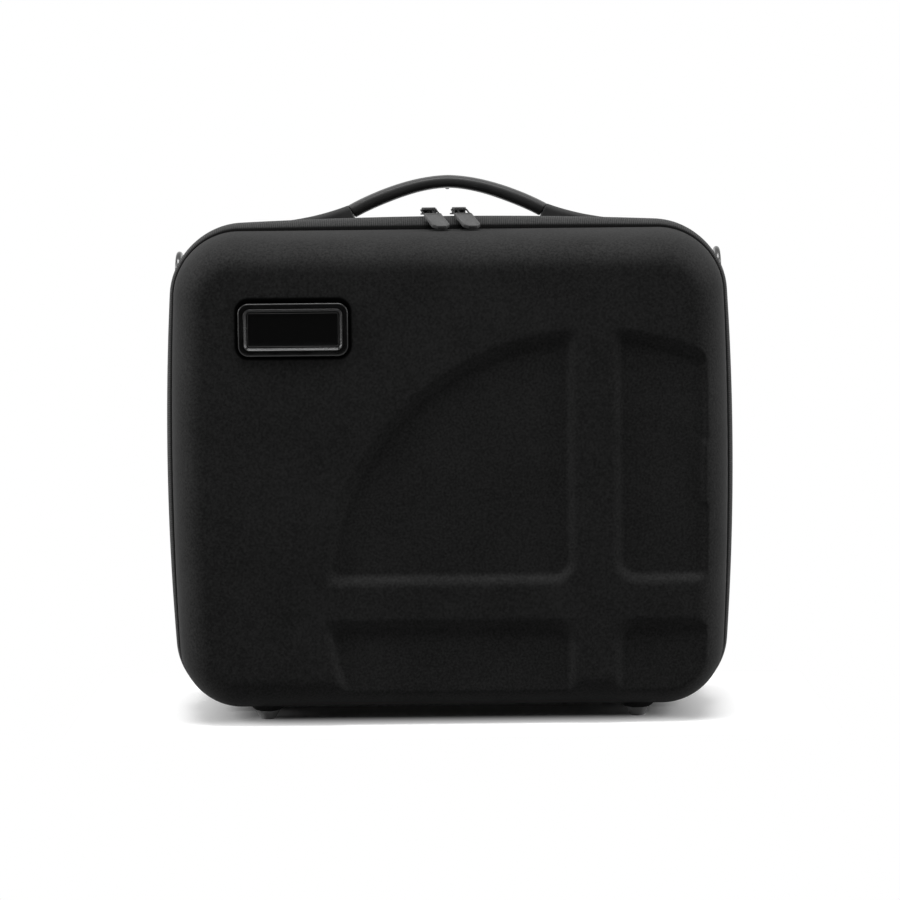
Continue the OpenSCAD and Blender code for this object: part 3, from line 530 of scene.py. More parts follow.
def make_tape(name, base, ribs, rib_depth, across=True, groove=False):
    """Woven tape. ribs: pitch of its cords; they run along U, or across it. groove: paints the
    shade of the groove near the rims.
    """
    m = Mat(name, 0.75, sheen=0.1, sheen_rough=0.4, specular=0.1)
    s = m.split(m.uv)
    phase = m.times(s[1 if across else 0], 2 * math.pi / (ribs * MM))
    cord = m.times_add(m.math("SINE", phase), 0.5, 0.5)
    thread, fleck = m.weave(0.5), m.noise(1.4, 4, 0.6)
    mix = m.times_add(thread, 0.2, m.times_add(cord, 0.3, m.times(fleck, 0.5)))
    shade = m.ramp(mix, (0.3, base * 0.35), (0.5, base), (0.7, base * 1.8))
    # Painted shade of the groove: within 5 mm of the tape's rim edge the colour fades to near
    # black, on the zip tapes and the hinge strip alike
    if groove:
        shade = m.multiply(shade, m.remap(s[1], 5.0 * MM, 6.2 * MM, 0.03, 1.0))
    m.colour(shade)
    m.roughness(m.remap(fleck, 0.2, 0.8, 0.66, 0.84))
    m.bump(thread, 0.08, 0.8, m.bump(fleck, 0.12, 0.6, m.bump(cord, rib_depth, 0.9)))
    return m.m


def make_plastic(name, base, rough, grain=0.35, depth=0.03, coat=0.0, spread=0.25, specular=0.5):
    m = Mat(name, rough, grey(base), coat=coat, coat_rough=0.25, specular=specular)
    fine, cloud = m.noise(grain, 3, 0.6), m.noise(14, 3, 0.5)
    mix = m.times_add(fine, 0.5, m.times(cloud, 0.5))
    m.colour(m.ramp(mix, (0.3, base * (1 - spread)), (0.7, base * (1 + spread))))
    m.roughness(m.remap(cloud, 0.3, 0.7, rough - 0.05, rough + 0.07))
    m.bump(fine, depth, 0.7)
    return m.m


def make_metal(name, base, rough, metallic, brush=None):
    m = Mat(name, rough, grey(base), metallic=metallic)
    fine, cloud = m.noise(0.5, 4, 0.6, stretch=brush), m.noise(6)
    m.colour(m.ramp(fine, (0.3, base * 0.8), (0.7, min(1, base * 1.15))))
    m.roughness(m.remap(cloud, 0.3, 0.7, rough * 0.8, rough * 1.25))
    m.bump(fine, 0.012, 0.6)
    return m.m


def make_foam():
    m = Mat("open_foam", 0.92, sheen=0.2, sheen_rough=0.5)
    n = m.node("TexVoronoi")
    n.inputs["Scale"].default_value = 1 / (1.5 * MM)
    m.link(m.object, n.inputs["Vector"])
    cell = n.outputs["Distance"]
    mix = m.times_add(cell, 0.7, m.times(m.noise(30), 0.4))
    m.colour(m.ramp(mix, (0.15, 0.007), (0.45, 0.02), (0.9, 0.036)))
    m.bump(cell, 0.6, 0.9)
    return m.m


LAMINATE = make_laminate()
BRUSHED = make_brushed()
# Its colour carries the painted shade of the groove along the rims
ZIP_TAPE = make_tape("zip_webbing", 0.042, 1.15, 0.10, across=False, groove=True)
BINDING = make_tape("binding_tape", 0.016, 0.9, 0.07)
WEBBING = make_tape("tab_webbing", 0.014, 1.6, 0.18, across=False)
COIL = make_plastic("coil_nylon", 0.012, 0.42, 0.3, 0.02)
GRIP = make_plastic("grip_rubber", 0.040, 0.40, 0.4, 0.02, spread=0.18, specular=0.35)
MOUNT = make_plastic("mount_plastic", 0.050, 0.55, specular=0.14)
FRAME = make_plastic("badge_frame_plastic", 0.007, 0.22, 0.3, 0.003)
PLAQUE = make_plastic("plaque_gloss", 0.0015, 0.08, 2.5, 0.002, coat=1.0, spread=0.1)
PULL = make_plastic("pull_rubber", 0.10, 0.62, 0.7, 0.12, specular=0.15, spread=0.4)
FOOT = make_plastic("foot_rubber", 0.45, 0.5, 0.5, 0.05, specular=0.25)
SLIDER = make_metal("slider_black", 0.06, 0.42, 0.6)
LOOP = make_metal("loop_black", 0.02, 0.4, 0.5)
RING = make_metal("ring_black_nickel", 0.09, 0.22, 1.0)
STEEL = make_metal("zinc_steel", 0.55, 0.34, 1.0, brush=(1, 6, 1))
RIVET = make_metal("rivet_black", 0.03, 0.35, 0.7)
FOAM = make_foam()

# ---- Shells ---------------------------------------------------------------------------------
FINE, COARSE = Outline(24, 180, 150), Outline(12, 60, 52)


def back_side(p):
    """Mirrors a point of the lid's side of the zip to the rear shell's side."""
    return (p[0], 2 * SPLIT - p[1], p[2])


def lid_shape(p):
    x, y, z = p
    z = seat_bottom(x, y, z, -FOOT_Y)
    if abs(x) < CASE_W / 2 - 18 and RIM_BOTTOM + 10 < z < RIM_TOP - 18 and y < LID_FRONT + 12:
        y = front_y(x, y, z)
    return (x, y, z)


def rear_shape(p):
    """A point of the rear shell, flattened for the handle's mounts and the rings' tabs."""
    x, y, z = p
    z = seat_bottom(x, y, z, FOOT_Y)
    side = abs(x)
    if z > RIM_TOP - 8:
        dx = max(MOUNT_FROM - MOUNT_SEAT - side, side - MOUNT_REACH - MOUNT_SEAT, 0)
        dy = max(abs(y - HANDLE_Y) - MOUNT_W / 2 - MOUNT_SEAT, 0)
        z = lerp(z, RIM_TOP, smooth(1 - math.hypot(dx, dy) / MOUNT_FADE))
    if side > SEAT_X - 6 and z > TAB_TOP - 60:
        dy = max(abs(y - RING_Y) - TAB_W / 2 - TAB_SEAT, 0)
        dz = max(z - TAB_TOP - 1, TAB_TOP - TAB_LEN - TAB_SEAT - z, 0)
        side = lerp(side, min(side, SEAT_X), smooth(1 - math.hypot(dy, dz) / SEAT_FADE))
        groove = RING_GROOVE**2 - (z - TAB_TOP) ** 2
        if dy == 0 and groove > 0:
            side = min(side, SEAT_X + TAB_T - math.sqrt(groove))
        x = math.copysign(side, x)
    return (x, y, z)


def make_shell(depth, body, shape, mirrored, node):
    r = Rings()
    turn = back_side if mirrored else tuple
    wall = [(1.3, 0.0, 0.0), (0.4, 0.3, 0.3), (0.0, 1.1, 1.1)]
    wall += [p for p in profile(depth, 0, 36) if p[1] > 1.9]
    ua = along(FINE.points(0, 0))
    rings = [
        (r.verts([shape(turn(p)) for p in FINE.points(inset, LID_RIM - fwd)]), v)
        for inset, fwd, v in wall
    ]
    for (a, va), (b, vb) in zip(rings, rings[1:]):
        r.bridge(a, b, ua, va, vb, mirrored)
    inset, reach, _ = wall[-1]
    last = rings[-1][0]
    r.fill(FINE, last, inset, lambda x, z: shape(turn((x, LID_RIM - reach, z))), mirrored)
    # The inside, at the shell's thickness
    prev = rings[0]
    for inset, fwd, v in profile(depth - (SHELL_T if mirrored else FACE_T), SHELL_T, 9):
        ring = r.verts([turn(p) for p in FINE.points(inset, LID_RIM - fwd)])
        r.bridge(prev[0], ring, ua, prev[1], v, not mirrored)
        prev = (ring, v)
    r.cap(prev[0], not mirrored)
    finish_mesh(SHELLS[mirrored], r.bm, LAMINATE, body, node, outward=False)


make_shell(LID_D, "lid", lid_shape, False, "lid_shell")
make_shell(BODY_D, "case", rear_shape, True, "body_shell")

# ---- Zip band -------------------------------------------------------------------------------
BAND_LINE = [
    (0, -GROOVE), (1.7, -2.4), (2.3, -0.7), (2.9, 0.9), (4.0, 1.8), (8, 2.75), (16, BAND_RISE),
]
TAPE_EDGE = BAND_HALF - ZIP_GAP / 2
PARTS = [
    ("arc", (HALF_W - LOW_R, LOW_R - HALF_H), LOW_R, -90),
    ("line", (HALF_W, LOW_R - HALF_H), (HALF_W, HALF_H - TOP_R)),
    ("arc", (HALF_W - TOP_R, HALF_H - TOP_R), TOP_R, 0),
    ("line", (HALF_W - TOP_R, HALF_H), (TOP_R - HALF_W, HALF_H)),
    ("arc", (TOP_R - HALF_W, HALF_H - TOP_R), TOP_R, 90),
    ("line", (-HALF_W, HALF_H - TOP_R), (-HALF_W, LOW_R - HALF_H)),
    ("arc", (LOW_R - HALF_W, LOW_R - HALF_H), LOW_R, 180),
]


def pchip(points):
    """A smooth line through [x, y] points that doesn't overshoot them."""
    h = [b[0] - a[0] for a, b in zip(points, points[1:])]
    d = [(b[1] - a[1]) / (b[0] - a[0]) for a, b in zip(points, points[1:])]
    m = [0 if p * q <= 0 else 2 * p * q / (p + q) for p, q in zip(d, d[1:])]
    m = [d[0]] + m + [d[-1] * 0.5]

    def at(x):
        k = max(0, min(len(h) - 1, sum(1 for p in points[1:-1] if x >= p[0])))
        t = (x - points[k][0]) / h[k]
        a, b = points[k][1], points[k + 1][1]
        return (
            (2 * t**3 - 3 * t**2 + 1) * a + (t**3 - 2 * t**2 + t) * h[k] * m[k]
            + (3 * t**2 - 2 * t**3) * b + (t**3 - t**2) * h[k] * m[k + 1]
        )

    return at


band_rise = pchip(BAND_LINE)


def part_length(p):
    return p[2] * math.pi / 2 if p[0] == "arc" else math.dist(p[1], p[2])


BAND_LENGTH = sum(part_length(p) for p in PARTS)


def band_place(s):
    """Point of the straight outline at a distance along the band, and its outward direction."""
    for p in PARTS:
        n = part_length(p)
        if s <= n or p is PARTS[-1]:
            break
        s -= n
    if p[0] == "arc":
        t = math.radians(p[3]) + min(s, n) / p[2]
        c, d = math.cos(t), math.sin(t)
        return p[1][0] + p[2] * c, p[1][1] + p[2] * d, c, d
    (ax, az), (bx, bz) = p[1:]
    return lerp(ax, bx, s / n), lerp(az, bz, s / n), (bz - az) / n, -(bx - ax) / n


def band_point(s, rise, y):
    share = math.sin(math.radians(90 * min(y, BAND_HALF) / BAND_HALF))
    qx, qz, nx, nz = band_place(s)
    u, v = qx / HALF_W, qz / HALF_H
    x = qx + rise * nx + (BOW + BAND_BOW * share) * u * (1 - v * v)
    z = RIM_MID + qz + rise * nz + BAND_ARCH * share * max(0, v) * (1 - u * u)
    return (x, LID_RIM + y, z)


TAPE_START = [0, 0.8, 1.5, 1.9, 2.3, 2.6, 2.9, 3.4]


def tape_section():
    """Outer line and inner line of a tape half, as [rise, y, distance across]."""
    ys = TAPE_START + [4.0, 4.8, 6.4, 8.2, 10.2, 12.2, 13.8, 14.7, TAPE_EDGE]
    outer = [[band_rise(y), y, 0.0] for y in ys]
    outer[-1][0] -= 0.45
    outer[-2][0] -= 0.08
    for a, b in zip(outer, outer[1:]):
        b[2] = a[2] + math.dist(a[:2], b[:2])
    inner = [[rise - TAPE_T, y, v] for rise, y, v in outer]
    inner[-1][0] += 0.4
    return outer + inner[::-1]


def make_tape_half(name, body, mirrored, node):
    r = Rings()
    turn = back_side if mirrored else tuple
    section = tape_section()
    steps = int(BAND_LENGTH / 2.2)
    places = [BAND_LENGTH * i / steps for i in range(steps + 1)]
    stations = [([turn(band_point(s, rise, y)) for rise, y, _ in section], s) for s in places]
    r.sweep(stations, [v for _, _, v in section] + [0.0], not mirrored)
    ob = finish_mesh(name, r.bm, ZIP_TAPE, body, node, outward=False)


make_tape_half("zip_tape_lid_cloth", "lid", False, "zip_tape_lid")
make_tape_half("zip_tape_body_cloth", "case", True, "zip_tape_body")

COIL_END, COIL_PITCH, COIL_AROUND, COIL_WIRE, COIL_SIDES = 3, 1.7, 12, 0.36, 5
COIL_Y, COIL_REACH, COIL_RISE, COIL_LEVEL = 14.35, 1.55, 0.95, band_rise(14) - TAPE_T - 1.45
FILLER, FILLER_STEPS = [(13.3, -0.3), (15.95, -0.3), (15.95, 0.3), (13.3, 0.3)], 400


def make_coil(name, body, mirrored, node):
    """A helix of nylon wire under the tape's edge, whose loops reach out over the gap, and the
    filler cord inside the loops."""
    turn = back_side if mirrored else tuple
    run = BAND_LENGTH - 2 * COIL_END

    def coil_point(s, y, rise):
        x, _, z = band_point(s, COIL_LEVEL + rise, 14.6)
        return turn((x, LID_RIM + y, z))

    helix = []
    for i in range(int(run / COIL_PITCH) * COIL_AROUND + 1):
        a = 2 * math.pi * i / COIL_AROUND
        s = COIL_END + COIL_PITCH * (i / COIL_AROUND + (0.5 if mirrored else 0))
        helix.append([
            coil_point(
                s + step,
                COIL_Y + COIL_REACH * (1 + out / 1.5) * math.cos(a),
                COIL_RISE * (1 + out / 1.5) * math.sin(a),
            )
            for out, step in circle(COIL_WIRE, COIL_SIDES)
        ])
    filler = [
        [coil_point(COIL_END + run * i / FILLER_STEPS, y, up) for y, up in FILLER]
        for i in range(FILLER_STEPS + 1)
    ]
    verts, faces = [], []
    for rings in (helix, filler):
        first, n = len(verts), len(rings[0])
        verts += [tuple(c * MM for c in p) for ring in rings for p in ring]
        for i in range(first, len(verts) - n, n):
            for j in range(n):
                a, b = i + j, i + (j + 1) % n
                faces.append((a, b, b + n, a + n))
    faces += [tuple(range(first, first + n))[::-1], tuple(range(len(verts) - n, len(verts)))]
    me = bpy.data.meshes.new(name)
    me.from_pydata(verts, [], faces if mirrored else [f[::-1] for f in faces])
    me.polygons.foreach_set("use_smooth", [True] * len(faces))
    dressed(name, me, COIL, body, node)


make_coil("zip_coil_lid_teeth", "lid", False, "zip_coil_lid")
make_coil("zip_coil_body_teeth", "case", True, "zip_coil_body")


def make_hinge():
    r = Rings()
    half, steps = HALF_W - LOW_R - 0.3, 60
    ys = TAPE_START + [4.4, 6.2, 8.4, 10.8, 13.2, 15.0]
    line = [(LID_RIM + y, RIM_BOTTOM - band_rise(y)) for y in ys]
    line += [(2 * SPLIT - y, z) for y, z in reversed(line)]
    section = line + [(y, z + TAPE_T) for y, z in reversed(line)]
    across = along(section)
    wide = across[len(line) - 1]
    places = [lerp(-half, half, i / steps) for i in range(steps + 1)]
    stations = [([(x, y, z) for y, z in section], x) for x in places]
    r.sweep(stations, [min(v, abs(wide - v)) for v in across], True)
    ob = finish_mesh("hinge_strip_cloth", r.bm, ZIP_TAPE, None, "hinge_strip")
    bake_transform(ob)


make_hinge()


# ---- Linings and seam bindings --------------------------------------------------------------
def near_fitting(p, side):
    """True where a shell's inside carries a fitting, so that the lining is cut away there."""
    x, y, z = abs(p[0]), p[1], p[2]
    if z < 25 and math.hypot(x - FOOT_X, y - side * FOOT_Y) < NEAR_FOOT:
        return True
    if side < 0:
        return False
    if z > RIM_TOP - 18 and abs(y - HANDLE_Y) < MOUNT_W / 2 + NEAR_PLATE:
        if MOUNT_FROM - NEAR_PLATE < x < MOUNT_REACH + NEAR_PLATE:
            return True
    beside = abs(z - TAB_TOP + TAB_LEN / 2) < TAB_LEN / 2 + 6
    return x > SEAT_X - 14 and beside and abs(y - RING_Y) < TAB_W / 2 + NEAR_PLATE


def make_lining(name, depth, body, mirrored, node):
    """A closed skin of the lining's thickness, cut away round the fittings."""
    r = Rings()
    turn = back_side if mirrored else tuple
    side = 1 if mirrored else -1
    n = COARSE.n
    ua = along(COARSE.points(0, 0))
    skins = []
    for inset, deep in ((SKIN, depth - LINING_T), (SHELL_T + 0.05, depth - 0.05)):
        prof = profile(deep, inset, 26)
        rings = [
            r.verts([turn(p) for p in COARSE.points(i, LID_RIM - f)]) for i, f, _ in prof
        ]
        skins.append((rings, prof))
    (inner, prof), (outer, _) = skins

    def kept(k, i):
        if not 0 <= k < len(inner) - 1:
            return True
        ends = (inner[k][i % n], inner[k + 1][(i + 1) % n])
        return not any(near_fitting(v.co, side) for v in ends)

    for k in range(len(inner) - 1):
        va, vb = prof[k][2], prof[k + 1][2]
        for i in range(n):
            j = (i + 1) % n
            if not kept(k, i):
                continue
            uvs = [(ua[i], va), (ua[i + 1], va), (ua[i + 1], vb), (ua[i], vb)]
            for rings, flip in ((inner, not mirrored), (outer, mirrored)):
                cell = [rings[k][i], rings[k][j], rings[k + 1][j], rings[k + 1][i]]
                r.face(cell, uvs, flip)
            edges = (
                ((k - 1, i), (k, i), (k, j)), ((k + 1, i), (k + 1, j), (k + 1, i)),
                ((k, i - 1), (k + 1, i), (k, i)), ((k, i + 1), (k, j), (k + 1, j)),
            )
            for cell, (pk, pi), (qk, qi) in edges:
                if cell[0] < 0 or not kept(*cell):
                    vs = [inner[pk][pi], inner[qk][qi], outer[qk][qi], outer[pk][pi]]
                    r.face(vs, [(0, 0), (1, 0), (1, 1), (0, 1)], mirrored)
    inset, reach, _ = prof[-1]
    r.fill(COARSE, inner[-1], inset, lambda x, z: turn((x, LID_RIM - reach, z)), not mirrored)
    r.cap(outer[-1], mirrored)
    loose = [v for v in r.bm.verts if not v.link_faces]
    bmesh.ops.delete(r.bm, geom=loose, context="VERTS")
    area = sum(f.calc_area() for f in r.bm.faces) / 2 * MM * MM
    ob = finish_mesh(name, r.bm, BRUSHED, body, node, outward=False)
    w, h = (CASE_W + depth) * MM, (CASE_H + depth) * MM
    rests_on, area = [SHELLS[mirrored]], min(area, w * h)


LININGS = ("lid_lining_cloth", "body_lining_cloth")
make_lining(LININGS[0], LID_D - FACE_T, "lid", False, "lid_lining")
make_lining(LININGS[1], BODY_D - SHELL_T, "case", True, "body_lining")


def make_binding(name, depth, body, mirrored, node):
    """Tape sewn over the lining's edge, just inside the rim."""
    r = Rings()
    turn = back_side if mirrored else tuple
    ua = along(COARSE.points(SKIN, 0))
    prof = profile(depth, 0, 60)

    def extra(fwd):
        """How far the wall leans in at a distance from the rim."""
        for a, b in zip(prof, prof[1:]):
            if b[1] >= fwd:
                return lerp(a[0], b[0], (fwd - a[1]) / (b[1] - a[1]))
        return prof[-1][0]

    section = [
        (BINDING_W, 0.15), (BINDING_W - 0.4, BINDING_T), (BINDING_W / 2, BINDING_T),
        (0.7, BINDING_T), (0.1, 0.5), (0.0, 0.02), (BINDING_W, 0.02),
    ]
    section = [(SKIN + extra(f) + t, f) for f, t in section]
    rings = [r.verts([turn(p) for p in COARSE.points(i, LID_RIM - f)]) for i, f in section]
    r.hoop(rings, ua, section, mirrored)
    ob = finish_mesh(name, r.bm, BINDING, body, node)


make_binding("lid_seam_tape", LID_D - RELIEF_DEPTH, "lid", False, "lid_seam_binding")
make_binding("body_seam_tape", BODY_D, "case", True, "body_seam_binding")


# ---- Rounded outlines of small parts --------------------------------------------------------
def rounded_poly(points, radii, inset, steps=5):
    """Points of a convex polygon, counter-clockwise, moved in by inset, with rounded corners."""
    edges = []
    for (ax, ay), (bx, by) in zip(points, points[1:] + points[:1]):
        d = math.dist((ax, ay), (bx, by))
        nx, ny = -(by - ay) / d, (bx - ax) / d
        edges.append((ax + nx * inset, ay + ny * inset, ny, -nx))
    out = []
    for i, (x2, y2, dx2, dy2) in enumerate(edges):
        x1, y1, dx1, dy1 = edges[i - 1]
        cross = dx1 * dy2 - dy1 * dx2
        t = ((x2 - x1) * dy2 - (y2 - y1) * dx2) / cross
        r = max(radii[i] - inset, 0.02)
        turn = math.atan2(cross, dx1 * dx2 + dy1 * dy2)
        cut = t - r * math.tan(turn / 2)
        sx, sy = x1 + dx1 * cut, y1 + dy1 * cut
        ox, oy = sx - dy1 * r, sy + dx1 * r
        a0 = math.atan2(sy - oy, sx - ox)
        for k in range(steps + 1):
            a = a0 + turn * k / steps
            out.append((ox + r * math.cos(a), oy + r * math.sin(a)))
    return out


def rounded_box(w, h, radius, inset):
    box = [(-w / 2, -h / 2), (w / 2, -h / 2), (w / 2, h / 2), (-w / 2, h / 2)]
    return rounded_poly(box, [radius] * 4, inset, 9)


# ---- Badge ----------------------------------------------------------------------------------
BADGE_BACK = LID_FRONT + BADGE_POCKET
BADGE_SLACK = 1.0
BADGE_TALL = BADGE_H - BADGE_SLACK
PEG_R, PEG_LEN, PEG_EDGE = 1.5, FACE_T - BADGE_POCKET + LINING_T + 0.8 + 1.2, 0.15


def badge_place(x, z, h):
    """h is how far a point stands forward of the badge's back."""
    return (BADGE_X + x, BADGE_BACK - h, BADGE_Z - BADGE_SLACK / 2 + z)


def make_badge():
    """The frame, with a peg near each corner, and the plaque in its window."""
    face, b = BADGE_POCKET + BADGE_PROUD, BADGE_LIP_H
    win_w, win_h, win_r = BADGE_W - 2 * BADGE_BORDER, BADGE_TALL - 2 * BADGE_BORDER, 1.6
    outer = (BADGE_W, BADGE_TALL, BADGE_R)
    lip = (win_w + 2 * BADGE_LIP, win_h + 2 * BADGE_LIP, win_r + BADGE_LIP)
    window = (win_w, win_h, win_r)
    frame_rings = [
        (outer, 0.2, 0), (outer, 0, 0.2), (outer, 0, face - 1.1), (outer, 0.07, face - 0.72),
        (outer, 0.26, face - 0.36), (outer, 0.6, face - 0.1), (outer, 1.0, face),
        (lip, 0, face), (lip, 0.06, face + b * 0.7), (lip, 0.22, face + b * 0.96),
        (lip, 0.5, face + b),
        (window, -0.1, face - 0.75), (window, 0, face - 0.95), (window, 0, face - 1.4),
    ]
    plaque_rings = [
        (window, 0.15, face - 1.35), (window, 0.15, face - 0.72), (window, 0.27, face - 0.58),
        (window, 0.55, face - 0.52), (window, 2.65, face - 0.5),
    ]
    r = Rings()
    r.stack([(rounded_box(*box, inset), h) for box, inset, h in frame_rings], badge_place)
    for x in (-1, 1):
        for z in (-1, 1):
            px, pz = x * (BADGE_W / 2 - BADGE_BORDER), z * (BADGE_H / 2 - BADGE_BORDER)
            r.stack(
                [
                    (circle(PEG_R, 20), -0.05), (circle(PEG_R, 20), PEG_LEN - PEG_EDGE),
                    (circle(PEG_R - PEG_EDGE, 20), PEG_LEN),
                ],
                lambda a, b, h: badge_place(px + a, pz + BADGE_SLACK / 2 + b, -h),
            )
    finish_mesh(
        "badge_frame_moulded", r.bm, FRAME, "lid", "badge_frame", sharp=50
    )
    r = Rings()
    r.stack([(rounded_box(*box, inset), h) for box, inset, h in plaque_rings], badge_place)
    finish_mesh(
        "badge_plaque_gloss", r.bm, PLAQUE, "lid", "badge_plaque", sharp=50
    )


make_badge()

# ---- Handle ---------------------------------------------------------------------------------
GRIP_R = (GRIP_HALF**2 + GRIP_FALL**2) / (2 * GRIP_FALL)
GRIP_ANGLE = math.asin(GRIP_HALF / GRIP_R)
GRIP_Z = RIM_TOP + HANDLE_H - GRIP_R
GRIP_SWELL, GRIP_SAG, GRIP_POWER, GRIP_STEPS = 0.9, 1.0, 3.0, 84
GATE_MARK = ((1.3, 0.2), (1.2, 0.5), (0.8, 0.75), (0.1, 0.85))


def superellipse(w, t, n=48):
    def part(c, size):
        return size / 2 * math.copysign(abs(c) ** (2 / GRIP_POWER), c)

    return [(part(c, w), part(s, t)) for c, s in circle(1, n)]


def make_grip():
    """An arch whose flanks sag a little and thicken towards the ends, as the photograph's do,
    and the mark of the moulding gate under its middle."""
    r = Rings()
    turns = [(lerp(-GRIP_ANGLE, GRIP_ANGLE, i / GRIP_STEPS), 1.0) for i in range(GRIP_STEPS + 1)]
    rim = [(0, 0.93), (0.002, 0.985), (0.006, 1.0)]
    turns[0:1] = [(-GRIP_ANGLE + a, k) for a, k in rim]
    turns[-1:] = [(GRIP_ANGLE - a, k) for a, k in reversed(rim)]
    stations = []
    for a, k in turns:
        u = abs(a) / GRIP_ANGLE
        thick = GRIP_T + GRIP_SWELL * smooth(u / 0.75)
        mid = GRIP_R - thick / 2 + 0.3 - GRIP_SAG * math.sin(math.pi * u**1.3) - 0.3 * smooth(u)
        pts = [
            ((mid + t) * math.sin(a), HANDLE_Y + y, GRIP_Z + (mid + t) * math.cos(a))
            for y, t in superellipse(GRIP_W * k, thick * k)
        ]
        stations.append((pts, a * mid))
    r.sweep(stations)
    under = RIM_TOP + HANDLE_H - GRIP_T + 0.3
    mark = [(circle(radius, 12), h) for radius, h in GATE_MARK]
    r.stack(mark, lambda x, y, h: (x, HANDLE_Y + y, under - h))
    finish_mesh(
        "handle_grip_rubber", r.bm, GRIP, "case", "handle_grip", sharp=55
    )


def mount_top(x):
    u = min(1, max(0, (x - GRIP_HALF) / (MOUNT_REACH - GRIP_HALF)))
    return MOUNT_TIP + (HANDLE_H - GRIP_FALL - MOUNT_TIP) * (1 - u) ** 1.6


MOUNT_PLACES = [0, 0.004, 0.012] + [0.02 + 0.9 * i / 26 for i in range(27)]
MOUNT_PLACES += [0.94, 0.96, 0.975, 0.987, 0.994]


def make_mount(name, sign, node):
    """An end mount, from the slanted face that meets the grip out to its round tip."""
    r = Rings()
    inner_r = GRIP_R - GRIP_T
    fx0 = inner_r * math.sin(GRIP_ANGLE)
    fh0 = GRIP_Z + inner_r * math.cos(GRIP_ANGLE) - RIM_TOP
    fh1 = HANDLE_H - GRIP_FALL
    stations = []
    for q, s in enumerate(MOUNT_PLACES):
        x_mid = lerp(GRIP_HALF, MOUNT_REACH, s)
        high = mount_top(x_mid) - (0.25, 0.06, 0)[min(q, 2)]
        half = MOUNT_W / 2
        if x_mid > MOUNT_REACH - half:
            half = math.sqrt(max(half**2 - (x_mid - MOUNT_REACH + half) ** 2, 0.6))
        if q == 0:
            half -= 0.25
        rad = min(3.2, high * 0.62, half * 0.6)
        left = [(-half, 0.05), (-half, (high - rad) * 0.5), (-half + 0.02, high - rad)]
        for t in (math.pi / 2 * i / 6 for i in range(1, 7)):
            left.append((-half + rad - rad * math.cos(t), high - rad + rad * math.sin(t)))
        crown = [(lerp(-half + rad, half - rad, f), high) for f in (0.25, 0.5, 0.75)]
        pts = left + crown + [(-y, h) for y, h in reversed(left)]
        pts += [(lerp(half, -half, f), 0.05) for f in (0.33, 0.67)]
        world = []
        for y, h in pts:
            start = lerp(fx0, GRIP_HALF, min(1, max(0, (h - fh0) / (fh1 - fh0))))
            world.append((sign * lerp(start, MOUNT_REACH, s), HANDLE_Y + y, RIM_TOP + h))
        stations.append((world, x_mid))
    r.sweep(stations, caps=(False, True))
    finish_mesh(name, r.bm, MOUNT, "case", node, sharp=50)


make_grip()
make_mount("handle_mount_left_moulded", -1, "handle_mount_left")
make_mount("handle_mount_right_moulded", 1, "handle_mount_right")

# ---- Feet -----------------------------------------------------------------------------------
FOOT_LINE = [
    (1.6, 5.45), (1.6, 3.2), (3.0, 3.1), (3.0, 0.35), (3.25, 0.02), (4.2, 0.0), (4.55, 0.16),
    (4.75, 0.5), (5.35, 1.6), (6.25, 3.2), (7.0, 4.3), (7.3, 4.75), (7.4, 5.05), (7.4, 5.45),
]


def make_feet(name, fy, body, node):
    r = Rings()
    ua = [2 * math.pi * 7 * i / 48 for i in range(49)]
    for fx in (-FOOT_X, FOOT_X):
        rings = [r.verts([(fx + x, fy + y, h) for x, y in circle(rad, 48)]) for rad, h in FOOT_LINE]
        r.hoop(rings, ua, FOOT_LINE)
    finish_mesh(name, r.bm, FOOT, body, node, sharp=40)


make_feet("body_feet_rubber", FOOT_Y, "case", "body_feet")
make_feet("lid_feet_rubber", -FOOT_Y, "lid", "lid_feet")

# ---- Sliders and pulls ----------------------------------------------------------------------
SLIDERS = {-1: -11.3, 1: 6.7}
PULL_LEN, PULL_START, PULL_W, PULL_T, PULL_SHIFT = 30.0, 8.0, 11.0, 2.4, 1.6
PULL_DROP, PULL_LEAN, PULL_CHAMFER = math.radians(20.5), math.radians(17.5), 3.0
BAR_ASIDE, BAR_AHEAD, BAR_RISE = 1.2, 2.6, 3.6
BRIDGE = [
    (2.7, -2.1), (2.7, 1.1), (2.5, 1.45), (2.1, 1.6), (-2.0, 1.6), (-2.45, 1.45), (-2.7, 1.1),
    (-2.7, 0.1), (-2.5, -0.05), (-2.1, -0.05), (-1.95, 0.1), (-1.95, 0.7), (1.95, 0.7),
    (1.95, -2.1),
]
WALL = [(2.9, -2.1), (2.9, 0.6), (2.6, 0.9), (2.35, 0.9), (2.1, 0.6), (2.1, -2.1)]
BRIDGE_ENDS = {-1: (-5.4, 2.3), 1: (-2.3, 5.4)}
WALL_ENDS = {-1: (-4.6, 4.4), 1: (-2.3, 6.6)}


def loop_bar(side):
    """The place of a slider's loop bar, turned as its pull leans."""
    x = SLIDERS[side]
    crest = RIM_TOP + BAND_RISE + BAND_ARCH * (1 - (x / HALF_W) ** 2)
    at = Matrix.Translation((x - side * BAR_ASIDE, SPLIT - BAR_AHEAD, crest + BAR_RISE))
    return at @ Matrix.Rotation(PULL_LEAN, 4, "Z")


